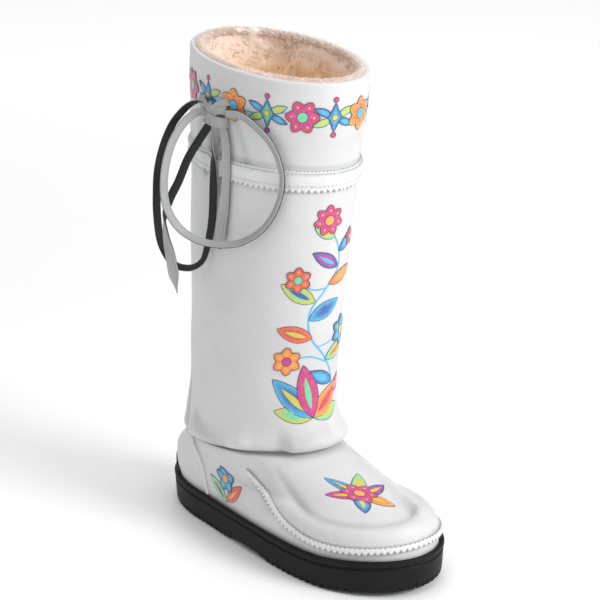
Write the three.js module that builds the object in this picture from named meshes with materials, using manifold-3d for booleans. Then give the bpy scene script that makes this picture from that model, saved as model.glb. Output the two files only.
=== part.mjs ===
// Tall sheepskin-lined mukluk boot for the right foot, standing empty on its sole.
// Millimetres: +X points to the toe, +Y to the inner side of the foot, +Z up.
// The origin lies on the floor, under the middle of the heel.
import * as THREE from "three";
import { mergeVertices } from "three/addons/utils/BufferGeometryUtils.js";
import Module from "manifold-3d";

// Sole
const SOLE_LENGTH = 280;
const BALL_WIDTH = 114;
const HEEL_WIDTH = 86;
// Heel back to the middle of the heel, which is the origin
const HEEL_SEAT = 44;
// Floor to the platform that carries the foot
const PLATFORM = 21;
const LIP_HEIGHT = 5;
const LEDGE = 4.2;
const TOE_SPRING = 6;
const ARCH_RISE = 3;
const TOE_SWING = 5;
const LUG_PITCH = 13;
const LUG_GROOVE = 4;
const LUG_DEPTH = 3.2;
const LUG_REACH = 20;
// Slant of the grooves, in radians, and the share of the length that they run over
const LUG_SLANT = 0.3;
const LUG_RUN = { from: 0.06, to: 0.96 };
const ARCH_BARE = { from: 0.36, to: 0.58 };
const CUP_WALL = 2.6;

// Upper
const LEATHER = 2;
const FLEECE = 7;
// Platform to the fold where the shaft meets the instep
const INSTEP = 62;
const ANKLE_LENGTH = 146;
const ANKLE_WIDTH = 90;
const COLLAR_LENGTH = 163;
const COLLAR_WIDTH = 114;
// Heel back of the sole to the back of the shaft, at the ankle and at the collar
const ANKLE_SETBACK = 20;
const COLLAR_SETBACK = 18;
const COLLAR_FRONT = 370;
const COLLAR_BACK = 384;
// How much lower the ankle fold lies at the back than at the front
const FOLD_DROP = 20;
const SHAFT_LEAN = 16;
const FUR_STAND = 4;

// Lining and seam strip
const INSOLE = 8;
// Insole's edge to the lining, and how much its top is drawn in
const INSOLE_EASE = 0.6;
const INSOLE_ROUND = 3;
const STRIP_THICKNESS = 1.4;

// Lace of the bow: its solids are plain round cords
const LACE_THICKNESS = 4.6;
const LACE_SIDES = 8;
const LACE_STEP = 13;
const KNOT_LENGTH = 17;
const KNOT_HEIGHT = 11;
const KNOT_DEPTH = 8;

// Clearance between pieces that meet
const GAP = 0.3;
const WALL = LEATHER + FLEECE;
const AROUND = 56;

// Plan outline: how full each side is at a share of the length
const FULLNESS = [
  { along: 0.0, lateral: 1.0, medial: 1.0 },
  { along: 0.42, lateral: 1.02, medial: 0.93 },
  { along: 0.66, lateral: 1.0, medial: 1.0 },
  { along: 1.0, lateral: 0.87, medial: 0.96 },
];
const HEEL_CAP = 0.22;
const TOE_CAP = 0.23;
const WAIST = { from: 0.1, to: 0.74 };
// Where the toe begins to lift, and where the arch rises and falls, in shares of the length
const SPRING = { from: 0.74, over: 0.34 };
const ARCH = { from: 0.36, to: 0.6, over: 0.08 };

// Sections of the foot from the feather line to the instep. back and front are shares of
// the sole length, heel and ball of the half widths, the rises of the instep height, and
// oval tells how far a section has turned into the shaft's oval.
const FOOT = [
  { back: 0.016, front: 0.984, heel: 0.905, ball: 0.925, backRise: 0, frontRise: 0, oval: 0 },
  { back: 0.016, front: 0.984, heel: 0.905, ball: 0.925, backRise: 0.078, frontRise: 0.078, oval: 0 },
  { back: 0.014, front: 0.984, heel: 0.925, ball: 0.94, backRise: 0.19, frontRise: 0.19, oval: 0 },
  { back: 0.014, front: 0.978, heel: 0.935, ball: 0.93, backRise: 0.29, frontRise: 0.31, oval: 0 },
  { back: 0.016, front: 0.962, heel: 0.94, ball: 0.885, backRise: 0.37, frontRise: 0.41, oval: 0 },
  { back: 0.019, front: 0.938, heel: 0.945, ball: 0.825, backRise: 0.43, frontRise: 0.475, oval: 0 },
  { back: 0.024, front: 0.91, heel: 0.955, ball: 0.77, backRise: 0.475, frontRise: 0.5, oval: 0.05 },
  { back: 0.03, front: 0.875, heel: 0.97, ball: 0.735, backRise: 0.515, frontRise: 0.54, oval: 0.12 },
  { back: 0.038, front: 0.825, heel: 0.985, ball: 0.72, backRise: 0.55, frontRise: 0.62, oval: 0.25 },
  { back: 0.046, front: 0.77, heel: 1, ball: 0.725, backRise: 0.585, frontRise: 0.71, oval: 0.4 },
  { back: 0.055, front: 0.715, heel: 1.02, ball: 0.74, backRise: 0.625, frontRise: 0.8, oval: 0.55 },
  { back: 0.063, front: 0.665, heel: 1.035, ball: 0.76, backRise: 0.665, frontRise: 0.885, oval: 0.72 },
  { back: 0.069, front: 0.625, heel: 1.045, ball: 0.78, backRise: 0.705, frontRise: 0.955, oval: 0.88 },
];

// Sections of the shaft: up is the share of its height, girth goes from the ankle's size
// to the collar's, and proud is how far the ankle fold stands out, in shares of the wall.
const SHAFT = [
  { up: 0.0, girth: 0.0, proud: -0.25 },
  { up: 0.022, girth: 0.02, proud: 0.4 },
  { up: 0.06, girth: 0.0, proud: 0.25 },
  { up: 0.14, girth: -0.02, proud: 0.06 },
  { up: 0.27, girth: 0.03, proud: 0 },
  { up: 0.42, girth: 0.18, proud: 0 },
  { up: 0.57, girth: 0.38, proud: 0 },
  { up: 0.7, girth: 0.55, proud: 0 },
  { up: 0.742, girth: 0.61, proud: 0 },
  { up: 0.774, girth: 0.65, proud: 0 },
  { up: 0.88, girth: 0.82, proud: 0 },
  { up: 0.96, girth: 0.95, proud: 0 },
  { up: 1.0, girth: 1.0, proud: 0 },
];
// Heel cup: sections of its foot, of the top at its ends and of the top at the middle, its
// steps of turn and of height, and how round its top edge runs
const CUP = { foot: 0.6, ends: 1.1, top: 3.4, steps: 12, levels: 5, crown: 0.7, ease: 0.15 };
const STRIP_LOW_ROW = FOOT.length + 8;
const STRIP_HIGH_ROW = FOOT.length + 9;
const COLLAR_ROW = FOOT.length + SHAFT.length - 1;

// Sole side from the tread edge up to the lip: out in shares of the ledge, up in shares of
// the height from the tread to the lip.
const SIDEWALL = [
  { out: 0.3, up: 0.0 },
  { out: 0.62, up: 0.1 },
  { out: 0.78, up: 0.5 },
  { out: 0.86, up: 0.72 },
  { out: 0.6, up: 0.76 },
  { out: 0.6, up: 0.8 },
  { out: 0.94, up: 0.84 },
  { out: 1.0, up: 0.94 },
  { out: 0.85, up: 1.0 },
];

// Lace routes, chosen by hand: the knot's middle and the points that each cord follows
const KNOT = [55, -45.6, 341.5];
const LACE_ROUTES = {
  lace_loop_front: [
    [67, -46.6, 345.4], [81, -43, 346], [94, -39, 339], [104, -34.5, 329], [110, -31, 316], [112, -29, 300],
    [109, -30, 284], [104, -34, 270], [95, -39, 258], [82, -46, 249], [68, -54, 246], [56, -61, 247],
    [45, -69, 253], [39, -76, 264], [36, -80, 278], [35, -80, 293], [35, -77, 309], [36, -71, 324],
    [38, -62, 336], [41, -53, 342.5], [46.2, -47.8, 343.2],
  ],
  lace_loop_back: [
    [47.8, -44.3, 346.8], [36, -43.2, 349], [27, -46.5, 346], [23, -54, 339], [20, -61, 329], [16, -66, 313],
    [13, -69, 295], [12, -70, 276], [12, -70, 259], [14, -69, 240], [19, -66, 227], [26, -63, 221],
    [35, -56, 220], [40, -49, 225], [43, -46, 237], [48, -45, 259], [50, -45, 283], [51, -45.2, 307],
    [53.5, -45.2, 324], [54.9, -46, 335],
  ],
  lace_tail_front: [
    [50.4, -46.4, 336.2], [43, -52, 322], [39, -60, 308], [35, -66, 291], [29, -71, 275], [26, -73, 261],
    [27, -73, 247], [30, -71.5, 231], [32, -70, 215], [33, -68, 202],
  ],
  lace_tail_back: [
    [61.5, -45.2, 336.3], [65, -44.5, 321], [65, -44.5, 298], [62, -44.5, 274], [58, -45, 253],
    [57, -45, 238],
  ],
};

function mix(from, to, share) {
  return from + (to - from) * share;
}

function soften(share) {
  const held = Math.min(Math.max(share, 0), 1);
  return held * held * (3 - 2 * held);
}

// Value between the rows of a table that lists its places under the name along
function between(table, name, along) {
  let index = 0;
  while (index < table.length - 2 && along > table[index + 1].along) index += 1;
  const low = table[index];
  const high = table[index + 1];
  return mix(low[name], high[name], soften((along - low.along) / (high.along - low.along)));
}

// The sections in millimetres, from the feather line to the collar
const sections = [
  ...FOOT.map((row) => ({
    back: row.back * SOLE_LENGTH,
    front: row.front * SOLE_LENGTH,
    heel: (row.heel * HEEL_WIDTH) / 2,
    ball: (row.ball * BALL_WIDTH) / 2,
    backUp: PLATFORM + GAP + row.backRise * INSTEP,
    frontUp: PLATFORM + GAP + row.frontRise * INSTEP,
    oval: row.oval,
    lean: 0,
    proud: 0,
  })),
  ...SHAFT.map((row) => {
    const back = mix(ANKLE_SETBACK, COLLAR_SETBACK, row.girth);
    const half = mix(ANKLE_WIDTH, COLLAR_WIDTH, row.girth) / 2;
    return {
      back,
      front: back + mix(ANKLE_LENGTH, COLLAR_LENGTH, row.girth),
      heel: half,
      ball: half,
      backUp: mix(PLATFORM + INSTEP - FOLD_DROP, COLLAR_BACK, row.up),
      frontUp: mix(PLATFORM + INSTEP, COLLAR_FRONT, row.up),
      oval: 1,
      lean: row.up * SHAFT_LEAN,
      proud: row.proud * WALL,
    };
  }),
];

// One size of the section at any place between two rows, on a smooth curve through them
function sized(name, row) {
  const last = sections.length - 1;
  const index = Math.min(Math.floor(row), last - 1);
  const at = (place) => sections[Math.min(Math.max(place, 0), last)][name];
  const before = at(index - 1);
  const low = at(index);
  const high = at(index + 1);
  const after = at(index + 2);
  const share = row - index;
  const lowSlope = (high - before) / 2;
  const highSlope = (after - low) / 2;
  const squared = share * share;
  const cubed = squared * share;
  return (
    low * (2 * cubed - 3 * squared + 1) +
    lowSlope * (cubed - 2 * squared + share) +
    high * (3 * squared - 2 * cubed) +
    highSlope * (cubed - squared)
  );
}

function endCap(distance, reach) {
  const left = 1 - Math.min(distance / reach, 1);
  return Math.sqrt(1 - left * left);
}

// How far the toe end of the bottom lifts off the floor
function spring(along) {
  return TOE_SPRING * soften((along - SPRING.from) / SPRING.over);
}

// Point of the upper's outer form: turn is the angle round the boot from the toe through
// the inner side, row the section
function form(turn, row) {
  const along = (1 + Math.cos(turn)) / 2;
  const inner = Math.sin(turn) >= 0;
  const heel = sized("heel", row);
  const ball = sized("ball", row);
  const oval = sized("oval", row);
  const back = sized("back", row);
  const width = mix(heel, ball, soften((along - WAIST.from) / (WAIST.to - WAIST.from)));
  const full = between(FULLNESS, inner ? "medial" : "lateral", along);
  const caps = endCap(along, HEEL_CAP) * endCap(1 - along, TOE_CAP);
  const foot = (inner ? 1 : -1) * width * full * caps + TOE_SWING * along * along;
  const shaft = ((heel + ball) / 2) * Math.sin(turn);
  return new THREE.Vector3(
    back - HEEL_SEAT + (sized("front", row) - back) * along,
    mix(foot, shaft, oval) + sized("lean", row),
    mix(sized("backUp", row), sized("frontUp", row), along) + spring(along) * (1 - oval),
  );
}

// Outward direction of the form, from points a small step away
function outward(turn, row) {
  const step = 0.02;
  const around = form(turn + step, row).sub(form(turn - step, row));
  const low = Math.max(row - step, 0);
  const high = Math.min(row + step, COLLAR_ROW);
  const rising = form(turn, high).sub(form(turn, low));
  return around.cross(rising).normalize();
}

// The form moved out by a distance, or level with the floor where flat is set
function offset(turn, row, out, flat = false) {
  const direction = outward(turn, row);
  if (flat) {
    direction.z = 0;
    direction.normalize();
  }
  return form(turn, row).addScaledVector(direction, out);
}

function ring(point) {
  const points = [];
  for (let index = 0; index < AROUND; index += 1) {
    points.push(point((index / AROUND) * Math.PI * 2));
  }
  return points;
}

// Closed body from rings that follow each other round a tube, the last joined to the first
function tube(rings) {
  const triangles = [];
  rings.forEach((lower, index) => {
    const upper = rings[(index + 1) % rings.length];
    for (let side = 0; side < lower.length; side += 1) {
      const next = (side + 1) % lower.length;
      triangles.push([lower[side], lower[next], upper[next]]);
      triangles.push([lower[side], upper[next], upper[side]]);
    }
  });
  return bodyOf(triangles);
}

// Closed body from rings that rise from a flat underside to a flat top, both spanned by
// rungs from one side of the boot to the other
function stack(rings) {
  const triangles = [];
  for (let level = 0; level < rings.length - 1; level += 1) {
    const lower = rings[level];
    const upper = rings[level + 1];
    for (let side = 0; side < AROUND; side += 1) {
      const next = (side + 1) % AROUND;
      triangles.push([lower[side], lower[next], upper[next]]);
      triangles.push([lower[side], upper[next], upper[side]]);
    }
  }
  const span = (points, up) => {
    for (let side = 0; side < AROUND / 2; side += 1) {
      const near = [points[side], points[side + 1]];
      const far = [points[(AROUND - side) % AROUND], points[AROUND - side - 1]];
      const corners = up ? [near[0], near[1], far[1], far[0]] : [far[0], far[1], near[1], near[0]];
      if (corners[0] !== corners[3]) triangles.push([corners[0], corners[1], corners[3]]);
      if (corners[1] !== corners[2]) triangles.push([corners[1], corners[2], corners[3]]);
    }
  };
  span(rings[0], false);
  span(rings[rings.length - 1], true);
  return bodyOf(triangles);
}

function bodyOf(triangles) {
  const geometry = new THREE.BufferGeometry();
  const corners = triangles.flat().flatMap((point) => point.toArray());
  geometry.setAttribute("position", new THREE.Float32BufferAttribute(corners, 3));
  return mergeVertices(geometry, 1e-4);
}

const wasm = await Module();
wasm.setup();

function solidOf(geometry) {
  const plain = geometry.clone();
  plain.deleteAttribute("normal");
  plain.deleteAttribute("uv");
  const merged = mergeVertices(plain, 1e-4);
  return new wasm.Manifold(
    new wasm.Mesh({
      numProp: 3,
      vertProperties: new Float32Array(merged.attributes.position.array),
      triVerts: new Uint32Array(merged.index.array),
    }),
  );
}

function geometryOf(solid) {
  const mesh = solid.getMesh();
  const geometry = new THREE.BufferGeometry();
  geometry.setAttribute("position", new THREE.BufferAttribute(mesh.vertProperties, 3));
  geometry.setIndex(new THREE.BufferAttribute(mesh.triVerts, 1));
  return geometry;
}

// Height of the tread above the floor: flat under heel and ball, raised at arch and toe
function tread(along) {
  const rise = soften((along - ARCH.from) / ARCH.over) * soften((ARCH.to - along) / ARCH.over);
  return ARCH_RISE * rise + spring(along);
}

function soleRing(out, height) {
  return ring((turn) => {
    const along = (1 + Math.cos(turn)) / 2;
    const point = offset(turn, 0, out, true);
    point.z = height(along);
    return point;
  });
}

// Points of one face of the heel cup, out from the form by a distance for each share of height
function cupFace(out) {
  const lines = [];
  for (let step = 0; step <= CUP.steps; step += 1) {
    const place = Math.round(AROUND / 2 - CUP.steps / 2 + step);
    const turn = (place / AROUND) * Math.PI * 2;
    const crown = Math.cos(((step / CUP.steps) * 2 - 1) * (Math.PI / 2));
    const top = mix(CUP.ends, CUP.top, crown ** CUP.crown);
    const line = [];
    for (let level = 0; level <= CUP.levels; level += 1) {
      const share = level / CUP.levels;
      line.push(offset(turn, mix(CUP.foot, top, share), out(share)));
    }
    lines.push(line);
  }
  return lines;
}

// Rubber cup that rises up the back of the heel, from inside the lip to its own top edge
function heelCup() {
  const inside = cupFace(() => GAP + CUP.ease);
  const outside = cupFace((share) => mix(CUP_WALL, CUP_WALL / 2, share));
  const triangles = [];
  const quad = (a, b, c, d) => triangles.push([a, b, c], [a, c, d]);
  for (let step = 0; step < CUP.steps; step += 1) {
    const [near, far] = [outside[step], outside[step + 1]];
    const [nearBack, farBack] = [inside[step], inside[step + 1]];
    for (let level = 0; level < CUP.levels; level += 1) {
      quad(near[level], far[level], far[level + 1], near[level + 1]);
      quad(nearBack[level], nearBack[level + 1], farBack[level + 1], farBack[level]);
    }
    quad(nearBack[0], farBack[0], far[0], near[0]);
    quad(near[CUP.levels], far[CUP.levels], farBack[CUP.levels], nearBack[CUP.levels]);
  }
  for (let level = 0; level < CUP.levels; level += 1) {
    const [first, firstBack] = [outside[0], inside[0]];
    const [last, lastBack] = [outside[CUP.steps], inside[CUP.steps]];
    quad(firstBack[level], first[level], first[level + 1], firstBack[level + 1]);
    quad(last[level], lastBack[level], lastBack[level + 1], last[level + 1]);
  }
  return bodyOf(triangles);
}

// Slanted grooves that leave a row of lugs along each edge of the tread
function lugGrooves() {
  const grooves = [];
  const count = Math.floor(((LUG_RUN.to - LUG_RUN.from) * SOLE_LENGTH) / LUG_PITCH);
  for (let index = 0; index < count; index += 1) {
    const along = LUG_RUN.from + (index * LUG_PITCH) / SOLE_LENGTH;
    if (along > ARCH_BARE.from && along < ARCH_BARE.to) continue;
    const turn = Math.acos(2 * along - 1);
    for (const side of [1, -1]) {
      const edge = offset(side * turn, 0, 0, true);
      const groove = new THREE.BoxGeometry(LUG_GROOVE, LUG_REACH * 2, LUG_DEPTH * 2);
      groove.rotateZ(side * LUG_SLANT);
      groove.translate(edge.x, edge.y, tread(along));
      grooves.push(solidOf(groove));
    }
  }
  return grooves;
}

// Sole with its platform, lip, heel cup and lugs
function outsole() {
  const lipTop = (along) => PLATFORM + LIP_HEIGHT + spring(along);
  const side = SIDEWALL.map((row) =>
    soleRing(row.out * LEDGE, (along) => mix(tread(along), lipTop(along), row.up)),
  );
  const lipInside = soleRing(GAP, lipTop);
  const platformEdge = soleRing(GAP, (along) => PLATFORM + spring(along));
  const body = solidOf(stack([...side, lipInside, platformEdge]));
  const joined = body.add(solidOf(heelCup()));
  return geometryOf(lugGrooves().reduce((left, groove) => left.subtract(groove), joined));
}

// Leather and fleece as one wall, open at the collar and underneath
function upper() {
  const outer = [];
  const inner = [];
  for (let row = 0; row <= COLLAR_ROW; row += 1) {
    const flat = row === 0 || row === COLLAR_ROW;
    outer.push(ring((turn) => offset(turn, row, sized("proud", row), flat)));
    inner.push(ring((turn) => offset(turn, row, -WALL, flat)));
  }
  const crest = ring((turn) => {
    const point = offset(turn, COLLAR_ROW, -WALL * 0.55, true);
    point.z += FUR_STAND;
    return point;
  });
  return tube([...outer, crest, ...inner.reverse()]);
}

// Loose fleece insole on the platform, its top edge drawn in
function insole() {
  const low = PLATFORM + GAP;
  const rings = [
    { out: -WALL - INSOLE_EASE, up: 0 },
    { out: -WALL - INSOLE_EASE, up: INSOLE * 0.8 },
    { out: -WALL - INSOLE_ROUND, up: INSOLE },
  ].map((row) => soleRing(row.out, (along) => low + row.up + spring(along)));
  return stack(rings);
}

// Raised leather strip that covers the seam round the shaft
function seamStrip() {
  const band = (row, out) => ring((turn) => offset(turn, row, out));
  return tube([
    band(STRIP_LOW_ROW, GAP),
    band(STRIP_LOW_ROW, GAP + STRIP_THICKNESS),
    band(STRIP_HIGH_ROW, GAP + STRIP_THICKNESS),
    band(STRIP_HIGH_ROW, GAP),
  ]);
}

// Round cord along a route
function laceCord(points) {
  const route = new THREE.CatmullRomCurve3(points.map((point) => new THREE.Vector3(...point)));
  const section = new THREE.Shape();
  for (let side = 0; side < LACE_SIDES; side += 1) {
    const turn = (side / LACE_SIDES) * Math.PI * 2;
    const across = (Math.cos(turn) * LACE_THICKNESS) / 2;
    const over = (Math.sin(turn) * LACE_THICKNESS) / 2;
    if (side === 0) section.moveTo(across, over);
    else section.lineTo(across, over);
  }
  const steps = Math.round(route.getLength() / LACE_STEP);
  return new THREE.ExtrudeGeometry(section, { extrudePath: route, steps, bevelEnabled: false });
}

// Knot as one rounded lump, turned a little with the cuff
function laceKnot() {
  const knot = new THREE.SphereGeometry(0.5, 12, 8);
  knot.scale(KNOT_LENGTH, KNOT_DEPTH, KNOT_HEIGHT);
  knot.rotateZ(0.12);
  knot.translate(...KNOT);
  return knot;
}

const whiteLeather = { color: 0xeceaea, roughness: 0.45, metalness: 0 };
const blackRubber = { color: 0x1d1d1f, roughness: 0.7, metalness: 0 };
const fleece = { color: 0xd9b48f, roughness: 0.95, metalness: 0 };
const greyLace = { color: 0xa9a9a9, roughness: 0.6, metalness: 0 };

const group = new THREE.Group();

function piece(name, geometry, finish) {
  const mesh = new THREE.Mesh(geometry, new THREE.MeshStandardMaterial(finish));
  mesh.name = name;
  group.add(mesh);
}

piece("outsole", outsole(), blackRubber);
piece("insole", insole(), fleece);
piece("upper", upper(), whiteLeather);
piece("seam_strip", seamStrip(), whiteLeather);
piece("lace_knot", laceKnot(), greyLace);
for (const [name, points] of Object.entries(LACE_ROUTES)) {
  piece(name, laceCord(points), greyLace);
}

export default group;
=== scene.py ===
"""Looks of a tall right mukluk boot: white leather, shearling lining, black rubber sole, leather lace."""
import math

import bpy
import numpy as np
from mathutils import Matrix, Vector, noise
from mathutils.kdtree import KDTree


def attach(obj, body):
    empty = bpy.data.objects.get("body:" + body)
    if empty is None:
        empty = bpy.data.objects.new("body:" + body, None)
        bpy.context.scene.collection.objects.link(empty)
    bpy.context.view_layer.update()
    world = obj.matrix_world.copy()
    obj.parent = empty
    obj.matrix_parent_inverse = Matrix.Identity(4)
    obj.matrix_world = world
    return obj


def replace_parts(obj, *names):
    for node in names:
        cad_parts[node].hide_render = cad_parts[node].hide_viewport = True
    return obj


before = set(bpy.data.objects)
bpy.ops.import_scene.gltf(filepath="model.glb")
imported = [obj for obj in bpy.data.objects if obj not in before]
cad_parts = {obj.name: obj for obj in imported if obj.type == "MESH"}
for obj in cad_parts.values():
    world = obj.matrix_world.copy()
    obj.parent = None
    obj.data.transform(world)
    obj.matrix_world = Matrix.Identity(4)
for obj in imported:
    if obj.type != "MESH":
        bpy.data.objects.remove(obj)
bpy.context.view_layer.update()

bl_info = {
    "name": "Mukluk boot",
    "version": (1, 0, 0),
    "blender": (4, 5, 0),
    "location": "3D View > Sidebar > Boot",
    "description": "Builds the leather, lining, sole, lace and painted motifs of a tall mukluk boot",
    "category": "Object",
}

MM = 0.001
BODY = "root"
FLOAT = "NodeSocketFloat"
COLOUR = "NodeSocketColor"

# Sizes of the boot's solids, in metres: sole, upper and lining
SOLE_LENGTH = 280 * MM
BALL_WIDTH = 114 * MM
HEEL_WIDTH = 86 * MM
HEEL_SEAT = 44 * MM
PLATFORM = 21 * MM
LIP_HEIGHT = 5 * MM
LEDGE = 4.2 * MM
TOE_SPRING = 6 * MM
ARCH_RISE = 3 * MM
TOE_SWING = 5 * MM
LUG_PITCH = 13 * MM
CUP_WALL = 2.6 * MM
WALL = 9 * MM
INSTEP = 62 * MM
ANKLE_LENGTH = 146 * MM
ANKLE_WIDTH = 90 * MM
COLLAR_LENGTH = 163 * MM
COLLAR_WIDTH = 114 * MM
ANKLE_SETBACK = 20 * MM
COLLAR_SETBACK = 18 * MM
COLLAR_FRONT = 370 * MM
COLLAR_BACK = 384 * MM
FOLD_DROP = 20 * MM
SHAFT_LEAN = 16 * MM
GAP = 0.3 * MM

# Plan outline: share of the length, fullness of the outer side, fullness of the inner side
FULLNESS = np.array([(0, 1, 1), (0.42, 1.02, 0.93), (0.66, 1, 1), (1, 0.87, 0.96)])
HEEL_CAP = 0.22
TOE_CAP = 0.23
WAIST = (0.1, 0.74)

# Foot sections: back, front, heel, ball, rise at the back, rise at the front, oval
FOOT = (
    (0.016, 0.984, 0.905, 0.925, 0, 0, 0),
    (0.016, 0.984, 0.905, 0.925, 0.078, 0.078, 0),
    (0.014, 0.984, 0.925, 0.94, 0.19, 0.19, 0),
    (0.014, 0.978, 0.935, 0.93, 0.29, 0.31, 0),
    (0.016, 0.962, 0.94, 0.885, 0.37, 0.41, 0),
    (0.019, 0.938, 0.945, 0.825, 0.43, 0.475, 0),
    (0.024, 0.91, 0.955, 0.77, 0.475, 0.5, 0.05),
    (0.03, 0.875, 0.97, 0.735, 0.515, 0.54, 0.12),
    (0.038, 0.825, 0.985, 0.72, 0.55, 0.62, 0.25),
    (0.046, 0.77, 1.0, 0.725, 0.585, 0.71, 0.4),
    (0.055, 0.715, 1.02, 0.74, 0.625, 0.8, 0.55),
    (0.063, 0.665, 1.035, 0.76, 0.665, 0.885, 0.72),
    (0.069, 0.625, 1.045, 0.78, 0.705, 0.955, 0.88),
)
# Shaft sections: share of the height, share of the girth, how proud in shares of the wall
SHAFT = (
    (0, 0, -0.25),
    (0.022, 0.02, 0.4),
    (0.06, 0, 0.25),
    (0.14, -0.02, 0.06),
    (0.27, 0.03, 0),
    (0.42, 0.18, 0),
    (0.57, 0.38, 0),
    (0.7, 0.55, 0),
    (0.742, 0.61, 0),
    (0.774, 0.65, 0),
    (0.88, 0.82, 0),
    (0.96, 0.95, 0),
    (1, 1, 0),
)
FOLD_ROW = len(FOOT)
STRIP_LOW_ROW = FOLD_ROW + 8
STRIP_HIGH_ROW = FOLD_ROW + 9
COLLAR_ROW = FOLD_ROW + len(SHAFT) - 1

# Turns of a crease that goes all the way round
ALL_ROUND = range(0, 361, 12)
# Soft creases and ridges of the leather: places as (turn in degrees, section), height and
# half width in metres, and for a trough the strength of the shade painted into it. A turn of 0
# is the toe, 90 the inner side and 270 the outer side.
CREASES = (
    # Sharp line where the shaft folds down over the foot, with shade painted into it
    {
        "places": tuple((turn, 12.9) for turn in ALL_ROUND),
        "height": -2.2 * MM, "width": 1.8 * MM, "shade": 1.0,
    },
    # Soft lobes of the shaft that hang over that line, at the front and on the outer side
    {
        "places": ((320, 14.1), (336, 14.25), (354, 14.35), (12, 14.35), (30, 14.25), (46, 14.1)),
        "height": 7.0 * MM, "width": 11 * MM, "above": 12.95,
    },
    {
        "places": ((232, 14.2), (250, 14.1), (270, 14.0), (288, 14.0), (304, 14.1)),
        "height": 2.6 * MM, "width": 9 * MM, "above": 12.95,
    },
    {
        "places": ((60, 14.1), (84, 14.0), (104, 14.1), (124, 14.2)),
        "height": 2.4 * MM, "width": 9 * MM, "above": 12.95,
    },
    # Edge of the apron on top of the foot with a little shade painted into it, and the roll round it
    {
        "places": (
            (310, 11.9), (302, 9.2), (299, 6.6), (305, 5.3), (318, 4.8), (334, 4.75), (350, 5.0), (2, 5.4),
            (9, 6.3), (13, 7.8), (15, 9.6), (18, 11.9),
        ),
        "height": -2.0 * MM, "width": 3.4 * MM, "shade": 0.4,
    },
    {
        "places": ((4, 4.7), (12, 5.3), (18, 6.6), (21, 8.2), (23.5, 9.8), (27, 11.8)),
        "height": 2.6 * MM, "width": 3.6 * MM,
    },
    {
        "places": (
            (300, 10.8), (292, 8.6), (288, 6.0), (292, 4.6), (304, 4.05), (320, 3.7), (340, 3.7), (0, 3.9),
            (12, 4.4), (21, 5.6), (26, 7.6), (29, 9.4), (33, 11.6),
        ),
        "height": 2.0 * MM, "width": 7 * MM,
    },
    # Shallow grooves under the pinked edges, with shadow painted into them
    {
        "places": (
            (279, 9.3), (278, 7.2), (278.5, 5.2), (284, 3.3), (295, 2.25), (307, 1.85), (320, 1.7),
            (334, 1.75), (348, 1.85), (0, 1.9), (12, 1.85), (26, 1.75), (40, 1.7), (53, 1.85), (64, 2.25),
            (75, 3.3), (81.5, 5.2), (82, 7.2), (82, 9.3),
        ),
        "height": -0.7 * MM, "width": 2.2 * MM, "shade": 0.7,
    },
    {
        "places": tuple((turn, 20.5) for turn in ALL_ROUND),
        "height": -0.5 * MM, "width": 2.4 * MM, "shade": 0.55,
    },
    {
        "places": tuple((turn, 22.14) for turn in ALL_ROUND),
        "height": -0.4 * MM, "width": 1.8 * MM, "shade": 0.4,
    },
    # Gathers that fan out under the tie
    {"places": ((262, 23.1), (260, 22.2), (257, 21.2), (253, 19.9)), "height": -1.6 * MM, "width": 3.5 * MM},
    {"places": ((267, 23.0), (266.5, 22.2), (265, 21.3), (262, 20.2)), "height": 1.3 * MM, "width": 3 * MM},
    {"places": ((271, 23.0), (272, 22.0), (272, 21.0), (270, 19.6)), "height": -1.7 * MM, "width": 3.2 * MM},
    {"places": ((255, 23.4), (250, 22.7), (245, 22.0), (241, 21.0)), "height": -1.2 * MM, "width": 4 * MM},
    {"places": ((278, 23.3), (283, 22.8), (288, 22.3), (292, 21.7)), "height": -0.9 * MM, "width": 4 * MM},
    # Slack of the shaft above the ankle
    {"places": ((236, 13.6), (230, 14.7), (226, 15.7), (224, 16.8)), "height": -1.8 * MM, "width": 6 * MM},
    {"places": ((285, 13.4), (268, 14.1), (252, 14.9), (240, 15.4)), "height": -1.1 * MM, "width": 7 * MM},
    {"places": ((318, 13.3), (332, 14.3), (350, 14.9), (8, 15.1)), "height": -0.9 * MM, "width": 8 * MM},
    {"places": ((120, 13.6), (128, 14.6), (134, 15.6), (136, 16.8)), "height": -1.6 * MM, "width": 6 * MM},
    {"places": ((60, 13.5), (80, 14.3), (100, 14.9), (118, 15.2)), "height": -1.1 * MM, "width": 7 * MM},
    # Long shallow wave down the back of the shaft
    {"places": ((186, 15.4), (182, 17.2), (184, 18.8), (181, 20.4)), "height": -1.2 * MM, "width": 10 * MM},
)
# Heel counter: half its reach round the heel, its top section and how proud it stands
COUNTER_REACH = 60
COUNTER_TOP = 12.2
COUNTER_PROUD = 0.7 * MM

# Slack of the leather: waves in a metre, and share of it that the taut foot keeps
SLACK_WAVES = 26
SLACK_FOOT = 0.35

# Courses of the seams, as (turn in degrees, section)
VAMP_SEAM = (
    (279, 9.6), (279, 7.4), (280, 5.4), (286, 3.7), (296, 2.75), (307, 2.35), (320, 2.2), (334, 2.25),
    (348, 2.35), (0, 2.4), (12, 2.35), (26, 2.25), (40, 2.2), (53, 2.35), (64, 2.75), (74, 3.7), (80, 5.4),
    (81, 7.4), (81, 9.6),
)
HEEL_PIPING = ((236.5, 12.6), (238, 10.5), (239.5, 8), (241, 5), (242, 3), (243, 1.1))

# Sole side from tread edge to lip: out in shares of the ledge, up in shares of its height
SIDEWALL = (
    (0.1, 0), (0.3, 0.0), (0.5, 0.035), (0.62, 0.1), (0.68, 0.2), (0.73, 0.32), (0.77, 0.45), (0.81, 0.57),
    (0.85, 0.68), (0.86, 0.71), (0.84, 0.73), (0.66, 0.745), (0.6, 0.76), (0.58, 0.78), (0.6, 0.8),
    (0.68, 0.815), (0.88, 0.83), (0.95, 0.85), (1.0, 0.89), (1.0, 0.93), (0.97, 0.965), (0.88, 0.99),
    (0.74, 1.0), (0.5, 1.0), (0.28, 0.995), (0.14, 0.97), (0.1, 0.9),
)

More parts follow.
